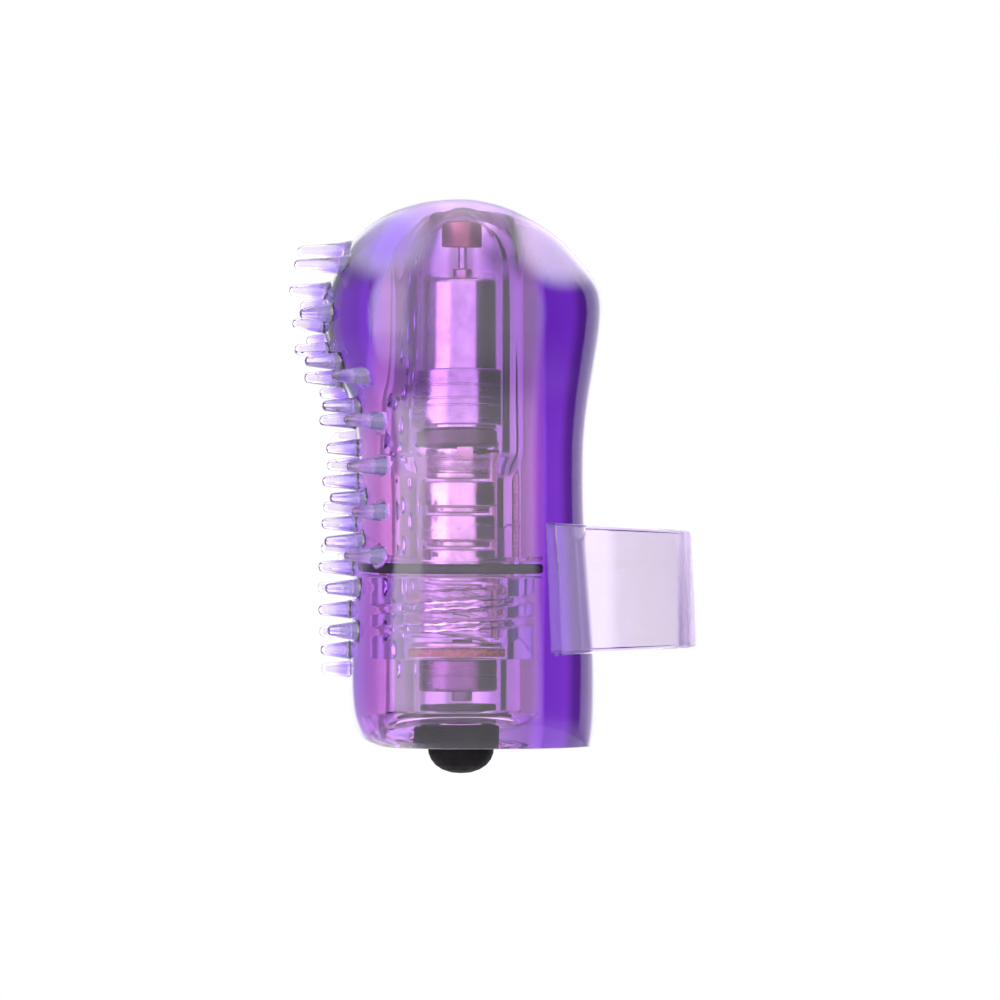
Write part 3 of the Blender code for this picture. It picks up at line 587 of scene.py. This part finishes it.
def strap_bm():
    """The finger loop: a band of rounded section along a half ellipse whose ends turn into the sleeve's flanks."""
    bm = bmesh.new()
    across = 120
    section = rounded([(-LOOP_WALL / 2, LOOP_LOW, 0.5), (LOOP_WALL / 2, LOOP_LOW, 0.5), (LOOP_WALL / 2, LOOP_HIGH, 0.5),
                       (-LOOP_WALL / 2, LOOP_HIGH, 0.5)], 5)
    rings = []
    for i in range(across + 1):
        t = math.radians(-101 + 202 * i / across)
        ring = []
        for off, z in section:
            u = (z - LOOP_LOW) / (LOOP_HIGH - LOOP_LOW)
            flare = LOOP_FLARE * (0.5 - u)
            reach = LOOP_REACH - LOOP_WALL / 2 + flare
            half = LOOP_HALF_Y - LOOP_WALL / 2
            x, y = LOOP_X0 + reach * math.cos(t), half * math.sin(t)
            nx, ny = math.cos(t) / reach, math.sin(t) / half
            size = math.hypot(nx, ny)
            dip = step(13.5, 5.0, x) * 1.5
            y -= math.copysign(dip, y)
            narrow = LOOP_TAPER * max(0.0, math.cos(t))
            ring.append(bm.verts.new(at(x + off * nx / size, y + off * ny / size, z + narrow * (1 - 2 * u))))
        rings.append(ring)
    count = len(section)
    for a, b in zip(rings, rings[1:]):
        for k in range(count):
            j = (k + 1) % count
            bm.faces.new((a[k], a[j], b[j], b[k]))
    bm.faces.new(rings[0])
    bm.faces.new(list(reversed(rings[-1])))
    return bm


def nose_reach(y, z):
    half = along(FLANK, z)
    s = min(0.999, abs(y) / half) ** (SECTION_POWER / 2)
    c = math.sqrt(max(0.0, 1 - s * s))
    return along(NOSE, z) * c ** (2 / SECTION_POWER)


def nubs_bm():
    """Tapered pins with round tips and a small fillet at the foot."""
    bm = bmesh.new()
    sides = 18
    for y, column in NUB_COLUMNS.items():
        for z, tip in column:
            skin = nose_reach(y, z)
            length = tip - skin
            stations = [(skin - 1.4, NUB_BASE_R * 1.18), (skin - 0.5, NUB_BASE_R * 1.16), (skin, NUB_BASE_R * 1.08),
                        (skin + 0.35, NUB_BASE_R * 0.98), (skin + 0.9, NUB_BASE_R * 0.91)]
            taper_end = NUB_TIP_R * 1.05
            for k in range(1, 5):
                t = k / 4
                stations.append((skin + 0.9 + (length - 0.9 - 0.6) * t, NUB_BASE_R * 0.91 + (taper_end - NUB_BASE_R * 0.91) * t))
            for k in range(1, 5):
                a = math.radians(90 * k / 4.6)
                stations.append((tip - 0.6 + 0.6 * math.sin(a), taper_end * math.cos(a) ** 0.8))
            rings = []
            droop = 0.10 * math.sin(z * 1.7 + y)
            for reach, r in stations:
                out = max(0.0, reach - skin) / max(0.5, length)
                rings.append([
                    bm.verts.new(at(-reach, y + r * math.cos(math.tau * k / sides), z + droop * out + r * math.sin(math.tau * k / sides)))
                    for k in range(sides)
                ])
            for a, b in zip(rings, rings[1:]):
                for k in range(sides):
                    j = (k + 1) % sides
                    bm.faces.new((a[k], b[k], b[j], a[j]))
            bm.faces.new(rings[0])
            bm.faces.new(list(reversed(rings[-1])))
    return bm


def make_sleeve():
    body = finish_mesh("sleeve_blank", sleeve_bm(), None, None)
    helpers = []
    for name, bm in (("strap_blank", strap_bm()), ("nub_blank", nubs_bm())):
        other = finish_mesh(name, bm, None, None)
        helpers.append(other)
        union = body.modifiers.new(name, "BOOLEAN")
        union.operation = "UNION"
        union.solver = "EXACT"
        union.object = other
    mesh = evaluated(body)
    for other in [*helpers, body]:
        bpy.data.objects.remove(other, do_unlink=True)
    mesh.name = "soft_sleeve"
    # The foot mask marks each nub's foot, where the sleeve's material paints light.
    foot = mesh.attributes.new("foot", "FLOAT", "POINT")
    for vertex in mesh.vertices:
        x, y, z = (vertex.co - at(0, 0, 0)) * 1000
        if x < -7.0 and 6.0 < z < 70.0 and abs(y) < 13.0:
            beyond = -x - nose_reach(y, z)
            foot.data[vertex.index].value = step(0.1, 0.3, beyond) * (1 - step(1.2, 3.0, beyond))
    mesh.materials.clear()
    mesh.materials.append(SOFT_VIOLET)
    mesh.shade_smooth()
    mesh.set_sharp_from_angle(angle=math.radians(40))
    obj = bpy.data.objects.new("soft_sleeve", mesh)
    bpy.context.scene.collection.objects.link(obj)
    flat_walls(obj)
    return stands_for(obj, "sleeve", "finger_sleeve")


make_sleeve()


def ridged(wall, z0, base_half, crest_half, height):
    """A wall's shape with a thread ridge on it: height is outward if positive and inward if negative."""
    low, high = z0 - base_half, z0 + THREAD_PITCH * THREAD_TURNS + base_half

    def shape(r, z, angle):
        if abs(r - wall) < 0.02 and low <= z <= high:
            return r + height * ridge(z, angle, z0, base_half, crest_half), z
        return r, z

    return shape


# ------------------------------------------------------------------ bullet housing
def housing_shape(r, z, angle):
    r, z = ridged(NECK_ROOT_R, NECK_END_Z + 0.85, 0.72, 0.40, NECK_CREST_R - NECK_ROOT_R)(r, z, angle)
    # the shallow groove in which the contact strip lies
    if r < 7.0 and z < CELL_BORE_TOP + 2.0:
        side = abs(r * math.sin(angle))
        if math.cos(angle) > 0 and side < 1.8:
            r += (6.95 - r) * (1 - step(1.35, 1.8, side))
    return r, z


lathe(
    "clear_bullet_housing",
    arc((0, DOME_Z), HOUSING_R, 90, 0, 30)
    + [(HOUSING_R, 50.0), (HOUSING_R, 38.0), (HOUSING_R, 30.0), (HOUSING_R, SHOULDER_Z + 0.35)]
    + rounded([(HOUSING_R, SHOULDER_Z + 0.5), (HOUSING_R, SHOULDER_Z, 0.3), (HOUSING_R - 0.6, SHOULDER_Z)], 4, False)[1:-1]
    + levels(NECK_ROOT_R, SHOULDER_Z, NECK_END_Z + 0.1, 0.13)
    + [(NECK_ROOT_R - 0.12, NECK_END_Z), (CELL_BORE_R + 0.12, NECK_END_Z)]
    + levels(CELL_BORE_R, NECK_END_Z + 0.12, CELL_BORE_TOP - 1.5, 2.5)
    + [(CELL_BORE_R + (MOTOR_BORE_R - CELL_BORE_R) * step(0, 12, k), CELL_BORE_TOP - 1.5 + 0.36 * k) for k in range(1, 13)]
    + [(MOTOR_BORE_R, 42.0), (MOTOR_BORE_R, 50.0), (MOTOR_BORE_R, 56.0)]
    + arc((0, DOME_Z), (MOTOR_BORE_R, 8.0), 0, 90, 24),
    HOUSING_CLEAR, "bullet", ["bullet_housing"], 128, housing_shape, closed=False,
)

# ------------------------------------------------------------------ end cap
lathe(
    "clear_end_cap",
    levels(CAP_BORE_R, CAP_LEDGE_Z, CAP_TOP_Z - 0.1, 0.13)
    + [(CAP_BORE_R + 0.1, CAP_TOP_Z)]
    + rounded([(CAP_BORE_R + 0.1, CAP_TOP_Z), (HOUSING_R, CAP_TOP_Z, 0.3), (HOUSING_R, 18.0)], 4, False)[1:]
    + [(HOUSING_R, 10.0), (HOUSING_R, 7.0)]
    + arc((HOUSING_R - CAP_EDGE_R, CAP_BASE_Z + CAP_EDGE_R), CAP_EDGE_R, 0, -90, 14)
    + rounded([(6.0, CAP_BASE_Z), (BUTTON_HOLE_R, CAP_BASE_Z, 0.25), (BUTTON_HOLE_R, CAP_FLOOR_Z, 0.2), (CAP_LEDGE_R, CAP_FLOOR_Z, 0.5),
               (CAP_LEDGE_R, CAP_LEDGE_Z, 0.1), (CAP_BORE_R, CAP_LEDGE_Z)], 4, False)[:-1],
    CAP_CLEAR, "cap", ["end_cap"], 128,
    ridged(CAP_BORE_R, NECK_END_Z + 0.85 - THREAD_PITCH / 2, 0.62, 0.30, CAP_CREST_R - CAP_BORE_R),
)

# ------------------------------------------------------------------ seal and button
middle_r, middle_z, half_r, half_z = (SEAL_R_IN + SEAL_R_OUT) / 2, 23.35, (SEAL_R_OUT - SEAL_R_IN) / 2, 0.65
lathe(
    "rubber_seal",
    [(middle_r + half_r * math.copysign(abs(math.cos(a)) ** 0.75, math.cos(a)), middle_z + half_z * math.copysign(abs(math.sin(a)) ** 0.75, math.sin(a)))
     for a in (math.tau * i / 28 for i in range(28))],
    SEAL_RUBBER, "seal", ["o_ring"], 128,
)
lathe(
    "rubber_push_button",
    [(0.0, 5.8)]
    + rounded([(3.0, 5.8), (6.0, 5.8, 0.2), (6.0, 4.95, 0.2), (BUTTON_R + 0.05, 4.95, 0.1), (BUTTON_R, -0.3)], 4, False)
    + rounded([(BUTTON_R, -0.35), (4.32, -1.05, 0.6), (4.0, -1.85, 0.6), (3.4, -2.6, 0.8), (2.5, -3.2, 0.8), (1.3, -3.6, 0.8), (0.0, BUTTON_TIP_Z)], 4, False),
    BLACK_RUBBER, "button", ["push_button"], 96, closed=False,
)

# ------------------------------------------------------------------ cap electronics
lathe(
    "printed_board",
    [(0.0, 12.9)] + rounded([(3.0, 12.9), (7.7, 12.9, 0.08), (7.7, 11.9, 0.08), (3.0, 11.9)], 3, False) + [(0.0, 11.9)],
    BOARD, "cap", ["circuit_board"], 96, closed=False,
)
lathe(
    "brass_contact_ring",
    rounded([(6.4, 13.7, 0.12), (7.2, 13.7, 0.12), (7.2, 13.2, 0.08), (6.4, 13.2, 0.08)], 4),
    BRASS, "cap", ["contact_ring"], 96,
)


def wire(name, path, radius, mat, body, nodes=(), sides=12):
    """A round wire along a path of points in millimetres, with closed ends."""
    bm = bmesh.new()
    rings = []
    points = [Vector(p) for p in path]
    up = Vector((0, 0, 1))
    for i, p in enumerate(points):
        ahead = (points[min(i + 1, len(points) - 1)] - points[max(i - 1, 0)]).normalized()
        side = ahead.cross(up).normalized()
        over = side.cross(ahead).normalized()
        rings.append([bm.verts.new(at(*(p + side * radius * math.cos(math.tau * k / sides) + over * radius * math.sin(math.tau * k / sides))))
                      for k in range(sides)])
    for a, b in zip(rings, rings[1:]):
        for k in range(sides):
            j = (k + 1) % sides
            bm.faces.new((a[k], a[j], b[j], b[k]))
    bm.faces.new(rings[0])
    bm.faces.new(list(reversed(rings[-1])))
    return finish_mesh(name, bm, mat, body, nodes, None, 50.0)


def coil_path(r_low, r_high, z_low, z_high, turns, wire_r, per_turn=56):
    out = []
    count = int(turns * per_turn)
    for i in range(count + 1):
        t = i / count
        flat = 0.9 / turns
        rise = min(1.0, max(0.0, (t - flat) / (1 - 2 * flat)))
        z = z_low + wire_r + (z_high - z_low - 2 * wire_r) * rise
        r = r_low + (r_high - r_low) * t
        a = math.tau * turns * t
        out.append((r * math.cos(a), r * math.sin(a), z))
    return out


lathe(
    "round_switch_body",
    [(0.0, 11.6)]
    + rounded([(2.0, 11.6), (SWITCH_R, 11.6, 0.35), (SWITCH_R, 9.6, 0.05), (SWITCH_R - 0.1, 9.55, 0.05), (SWITCH_R - 0.1, 9.35, 0.05),
               (SWITCH_R, 9.3, 0.05), (SWITCH_R, 7.4, 0.45), (2.0, 7.4, 0.2), (2.0, 10.2, 0.1), (1.0, 10.2)], 4, False)
    + [(0.0, 10.2)],
    SWITCH_PLATE, "cap", ["switch_body"], 96, closed=False,
)
lathe("switch_plunger_pin", [(0.0, 9.1)] + rounded([(0.4, 9.1), (1.6, 9.1, 0.25), (1.6, 6.15, 0.25), (0.4, 6.15)], 4, False) + [(0.0, 6.15)],
      PALE_PLASTIC, "button", ["switch_plunger"], 48, closed=False)
wire("nickel_battery_spring", coil_path(4.9, 3.0, 13.2, 21.35, 4.4, 0.28), 0.28, NICKEL, "cap", ["battery_spring"])
wire(
    "black_motor_lead",
    [(6.35 * math.cos(math.radians(a)), 6.35 * math.sin(math.radians(a)), 38.6 + 0.35 * math.sin(math.radians(3 * (a + 76))))
     for a in [-76 + 57 * i / 30 for i in range(31)]],
    0.28, WIRE_BLACK, "bullet", ["negative_lead"],
)

# ------------------------------------------------------------------ cells
for number in range(3):
    top = CELL_TOP_Z - CELL_PITCH * number
    low = top - CELL_H
    lathe(
        f"steel_button_cell_{number + 1}",
        [(0.0, top)]
        + rounded([(2.0, top), (CELL_R, top, 0.28), (CELL_R, low + CELL_NECK_H, 0.42), (CELL_NECK_R + 0.3, low + CELL_NECK_H - 0.02, 0.08),
                   (CELL_NECK_R + 0.12, low + CELL_NECK_H - 0.14, 0.05), (CELL_NECK_R, low + CELL_NECK_H - 0.14, 0.05),
                   (CELL_NECK_R, low, 0.25), (2.0, low)], 5, False)
        + [(0.0, low)],
        CELL_STEEL, "bullet", [f"button_cell_{number + 1}"], 112, closed=False,
    )

# ------------------------------------------------------------------ motor
lathe(
    "turned_front_contact",
    [(0.0, 39.5)]
    + rounded([(2.0, 39.5), (5.0, 39.5, 0.22), (5.0, 37.75, 0.08), (4.68, 37.7, 0.08), (4.68, 37.5, 0.08), (5.0, 37.45, 0.08), (5.0, 36.15, 0.08),
               (4.68, 36.1, 0.08), (4.68, 35.9, 0.08), (5.0, 35.85, 0.08), (5.0, 35.2, 0.2), (2.0, 35.2)], 4, False)
    + [(0.0, 35.2)],
    NICKEL, "bullet", ["front_contact"], 96, closed=False,
)
lathe(
    "drawn_motor_can",
    rounded([(CAN_R - CAN_WALL, CAN_LOW, 0.08), (CAN_R - CAN_WALL, CAN_HIGH - 0.6, 0.3), (1.9, CAN_HIGH - 0.6, 0.06), (1.9, CAN_HIGH, 0.08),
               (CAN_R, CAN_HIGH, 0.7), (CAN_R, 46.4, 0.05), (CAN_R - 0.12, 46.3, 0.05), (CAN_R - 0.12, 46.0, 0.05), (CAN_R, 45.9, 0.05),
               (CAN_R, CAN_LOW, 0.12)], 5),
    CAN_STEEL, "bullet", ["motor_can"], 112,
)
lathe("bronze_motor_bush", rounded([(1.05, 61.3, 0.08), (1.6, 61.3, 0.12), (1.6, 59.2, 0.08), (1.05, 59.2, 0.08)], 3), BRASS, "bullet", ["motor_bush"], 48)
lathe(
    "moulded_end_bell",
    [(0.0, 40.6), (1.1, 40.6)]
    + rounded([(1.1, 41.8), (1.1, 41.9, 0.06), (CAN_R, 41.9, 0.1), (CAN_R, 39.9, 0.35), (2.0, 39.9)], 4, False)
    + [(0.0, 39.9)],
    OLIVE_PLASTIC, "bullet", ["motor_end_bell"], 96, closed=False,
)


def enamel_turns(name, outline, node, radius, pitch):
    """A winding's end turns: a rounded ring whose surface is rippled by the wires lying over it."""
    def shape(r, z, angle):
        middle = 2.5
        ripple = 0.05 * math.sin(angle * 60) if r > middle else 0.0
        bulge = 0.16 * math.cos(angle * 3)
        return (r + (ripple + bulge if r > middle else 0.0), z)
    return lathe(name, rounded(outline, 6), WOUND_COPPER, "rotor", [node], 240, shape)


enamel_turns("enamelled_winding_upper", [(1.5, 57.0, 0.2), (2.9, 57.0, 0.6), (3.4, 56.3, 0.5), (3.3, 55.65, 0.2), (1.5, 55.65, 0.1)], "winding_upper", 0, 0)
enamel_turns("enamelled_winding_lower", [(1.7, 47.15, 0.1), (3.3, 47.15, 0.2), (3.4, 46.5, 0.5), (2.9, 45.8, 0.6), (1.7, 45.8, 0.2)], "winding_lower", 0, 0)


def commutator_shape(r, z, angle):
    if r > 1.3:
        near = min(abs((angle - math.tau * k / 3 + math.pi) % math.tau - math.pi) for k in range(3))
        r -= 0.18 * (1 - step(0.05, 0.1, near))
    return r, z


lathe("segmented_commutator", rounded([(1.06, 45.4, 0.05), (1.65, 45.4, 0.1), (1.65, 42.9, 0.1), (1.06, 42.9, 0.05)], 3), COMMUTATOR_COPPER, "rotor",
      ["commutator"], 120, commutator_shape)
lathe("ground_motor_shaft", [(0.0, 66.6)] + rounded([(0.2, 66.6), (SHAFT_R, 66.6, 0.12), (SHAFT_R, 41.0, 0.12), (0.2, 41.0)], 4, False) + [(0.0, 41.0)],
      SHAFT_STEEL, "rotor", ["motor_shaft"], 48, closed=False)


def weight():
    """The eccentric weight: a thick ring cut away on one side, its cut edges broken."""
    bm = lathe_bm(rounded([(1.06, 67.7, 0.1), (3.4, 67.7, 0.3), (3.4, 64.0, 0.3), (1.06, 64.0, 0.1)], 4), 96)
    bmesh.ops.recalc_face_normals(bm, faces=bm.faces)
    got = bmesh.ops.bisect_plane(bm, geom=list(bm.verts) + list(bm.edges) + list(bm.faces), plane_co=at(0, 1.75, 0), plane_no=(0, 1, 0), clear_outer=True)
    edges = [e for e in got["geom_cut"] if isinstance(e, bmesh.types.BMEdge)]
    made = bmesh.ops.contextual_create(bm, geom=edges)
    rim = [e for e in bm.edges if e.is_manifold and any(f in made["faces"] for f in e.link_faces)]
    bmesh.ops.bevel(bm, geom=rim, offset=0.00012, segments=3, affect="EDGES", profile=0.5)
    return finish_mesh("sintered_eccentric_weight", bm, SINTERED, "rotor", ["eccentric_weight"], None, 30.0)


weight()


def collar():
    """A split ring round the motor, its ends and edges rounded."""
    bm = bmesh.new()
    section = rounded([(6.525, 42.6, 0.12), (6.975, 42.6, 0.2), (6.975, 45.1, 0.05), (6.89, 45.15, 0.05), (6.89, 45.35, 0.05), (6.975, 45.4, 0.05),
                       (6.975, 46.1, 0.05), (6.89, 46.15, 0.05), (6.89, 46.35, 0.05), (6.975, 46.4, 0.05), (6.975, 47.9, 0.05), (6.89, 47.95, 0.05),
                       (6.89, 48.15, 0.05), (6.975, 48.2, 0.05), (6.975, 50.2, 0.2), (6.525, 50.2, 0.12)], 3)
    rings = []
    for i in range(91):
        a = math.radians(30 + 300 * i / 90)
        rings.append([bm.verts.new(at(r * math.cos(a), r * math.sin(a), z)) for r, z in section])
    for a, b in zip(rings, rings[1:]):
        for k in range(len(section)):
            j = (k + 1) % len(section)
            bm.faces.new((a[k], a[j], b[j], b[k]))
    bm.faces.new(rings[0])
    bm.faces.new(list(reversed(rings[-1])))
    return finish_mesh("steel_motor_collar", bm, COLLAR_STEEL, "bullet", ["motor_collar"])


collar()

# ------------------------------------------------------------------ CAD pieces that keep their shape
for node, mat in {
    "contact_strip": BRASS, "driver_chip": CHIP_BLACK,
    "motor_magnet_left": FERRITE, "motor_magnet_right": FERRITE, "armature_core": LAMINATIONS, "brush_left": CARBON,
    "brush_right": CARBON, "motor_terminal_positive": BRASS, "motor_terminal_negative": BRASS,
}.items():
    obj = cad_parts[node]
    obj.data.materials.clear()
    obj.data.materials.append(mat)

# ------------------------------------------------------------------ floor, light, camera
# The floor lies below the bullet's lowest place, so that the bullet can be drawn right out above it.
FLOOR_Z = BASE_Z - 0.088
floor_mesh = bpy.data.meshes.new("studio_floor")
floor_bm = bmesh.new()
bmesh.ops.create_circle(floor_bm, cap_ends=True, segments=128, radius=0.22)
floor_bm.to_mesh(floor_mesh)
floor_bm.free()
floor = bpy.data.objects.new("studio_floor", floor_mesh)
floor.location = (AXIS_X, -0.03, FLOOR_Z)
bpy.context.scene.collection.objects.link(floor)
paper = Shade("pale_paper")
paper.set(Base_Color=paper.mix(paper.noise(30.0), (0.88, 0.88, 0.885), (0.86, 0.86, 0.87)), Roughness=0.9)
floor_mesh.materials.append(paper.mat)

world = bpy.data.worlds.new("studio")
bpy.context.scene.world = world
world.use_nodes = True
tree = world.node_tree
tree.nodes.clear()


def w_math(operation, a, b=None, clamp=False):
    node = tree.nodes.new("ShaderNodeMath")
    node.operation = operation
    node.use_clamp = clamp
    for value, socket in ((a, node.inputs[0]), (b, node.inputs[1])):
        if isinstance(value, bpy.types.NodeSocket):
            tree.links.new(value, socket)
        elif value is not None:
            socket.default_value = value
    return node.outputs[0]


def w_ramp(value, start, end, low, high):
    node = tree.nodes.new("ShaderNodeMapRange")
    node.interpolation_type = "SMOOTHSTEP"
    node.clamp = True
    tree.links.new(value, node.inputs["Value"])
    for key, number in (("From Min", start), ("From Max", end), ("To Min", low), ("To Max", high)):
        node.inputs[key].default_value = number
    return node.outputs["Result"]


direction = tree.nodes.new("ShaderNodeTexCoord").outputs["Generated"]


def facing(x, y, z):
    """How nearly a ray points at this direction: 1 straight at it."""
    v = Vector((x, y, z)).normalized()
    node = tree.nodes.new("ShaderNodeVectorMath")
    node.operation = "DOT_PRODUCT"
    tree.links.new(direction, node.inputs[0])
    node.inputs[1].default_value = v
    return node.outputs["Value"]


# Brightness round the horizon, in degrees from the front, right positive: a wide box at front left, a dark flag at the
# right, a lit panel behind on the right and the plain backdrop behind.
ROUND = [(-180, 1.0), (-176, 1.1), (-170, 2.1), (-160, 2.1), (-152, 0.9), (-124, 0.8), (-116, 0.5), (-80, 0.5),
         (-69, 6.0), (-43, 6.0), (-34, 2.8), (-4, 2.8), (6, 3.0), (34, 3.0), (44, 0.06), (98, 0.06), (104, 1.6), (120, 1.6),
         (127, 1.8), (139, 1.8), (146, 2.4), (158, 2.2), (168, 1.0), (180, 1.0)]
MOST, TOP_POWER, UNDER_POWER = 8.0, 2.0, 1.0
split = tree.nodes.new("ShaderNodeSeparateXYZ")
tree.links.new(direction, split.inputs[0])
turn = w_math("ARCTAN2", split.outputs[0], w_math("MULTIPLY", split.outputs[1], -1.0))
ring = tree.nodes.new("ShaderNodeValToRGB")
ring.color_ramp.interpolation = "EASE"
while len(ring.color_ramp.elements) > 1:
    ring.color_ramp.elements.remove(ring.color_ramp.elements[-1])
for number, (degrees, value) in enumerate(ROUND):
    stop = ring.color_ramp.elements[0] if number == 0 else ring.color_ramp.elements.new(degrees / 360 + 0.5)
    stop.position = degrees / 360 + 0.5
    stop.color = (value / MOST, value / MOST, value / MOST, 1.0)
tree.links.new(w_math("ADD", w_math("DIVIDE", turn, math.tau), 0.5), ring.inputs["Fac"])
high = w_ramp(split.outputs[2], 0.40, 0.75, 0.0, 1.0)
level = w_math("MULTIPLY", ring.outputs["Color"], MOST)
level = w_math("ADD", w_math("MULTIPLY", level, w_math("SUBTRACT", 1.0, high)), w_math("MULTIPLY", high, TOP_POWER))
low = w_ramp(split.outputs[2], -0.35, -0.12, 1.0, 0.0)
level = w_math("ADD", w_math("MULTIPLY", level, w_math("SUBTRACT", 1.0, low)), w_math("MULTIPLY", low, UNDER_POWER))
around = tree.nodes.new("ShaderNodeBackground")
around.inputs["Color"].default_value = (1.0, 0.995, 1.0, 1.0)
tree.links.new(level, around.inputs["Strength"])
seen = tree.nodes.new("ShaderNodeBackground")
seen.inputs["Color"].default_value = (1.0, 1.0, 1.0, 1.0)
seen.inputs["Strength"].default_value = 1.0
path = tree.nodes.new("ShaderNodeLightPath")
either = tree.nodes.new("ShaderNodeMixShader")
tree.links.new(path.outputs["Is Camera Ray"], either.inputs[0])
tree.links.new(around.outputs[0], either.inputs[1])
tree.links.new(seen.outputs[0], either.inputs[2])
output = tree.nodes.new("ShaderNodeOutputWorld")
tree.links.new(either.outputs[0], output.inputs["Surface"])

YAW, DISTANCE = math.radians(4.4), 0.480
axis_point = at(0, 0, 0)
camera_data = bpy.data.cameras.new("camera")
camera_data.sensor_width = 36.0
camera_data.lens = 36.0 * DISTANCE * 1000 / (1000 / 7.5)
camera_data.clip_start, camera_data.clip_end = 0.01, 20.0
camera = bpy.data.objects.new("camera", camera_data)
bpy.context.scene.collection.objects.link(camera)
eye = Vector((AXIS_X - DISTANCE * math.sin(YAW), -DISTANCE * math.cos(YAW), 0.0))
aim = at(5.2 * math.cos(YAW), -5.2 * math.sin(YAW), (745 - 500) / 7.5)
camera.location = eye
camera.rotation_euler = (aim - eye).to_track_quat("-Z", "Y").to_euler()
bpy.context.scene.camera = camera

scene = bpy.context.scene
scene.view_settings.view_transform = "Standard"
scene.view_settings.look = "None"
scene.view_settings.exposure = 0.0
scene.view_settings.gamma = 1.0
scene.cycles.max_bounces = 28
scene.cycles.transmission_bounces = 28
scene.cycles.glossy_bounces = 28
scene.cycles.diffuse_bounces = 4
scene.cycles.transparent_max_bounces = 48
scene.cycles.volume_bounces = 0
scene.cycles.blur_glossy = 0.3
scene.cycles.sample_clamp_indirect = 6.0
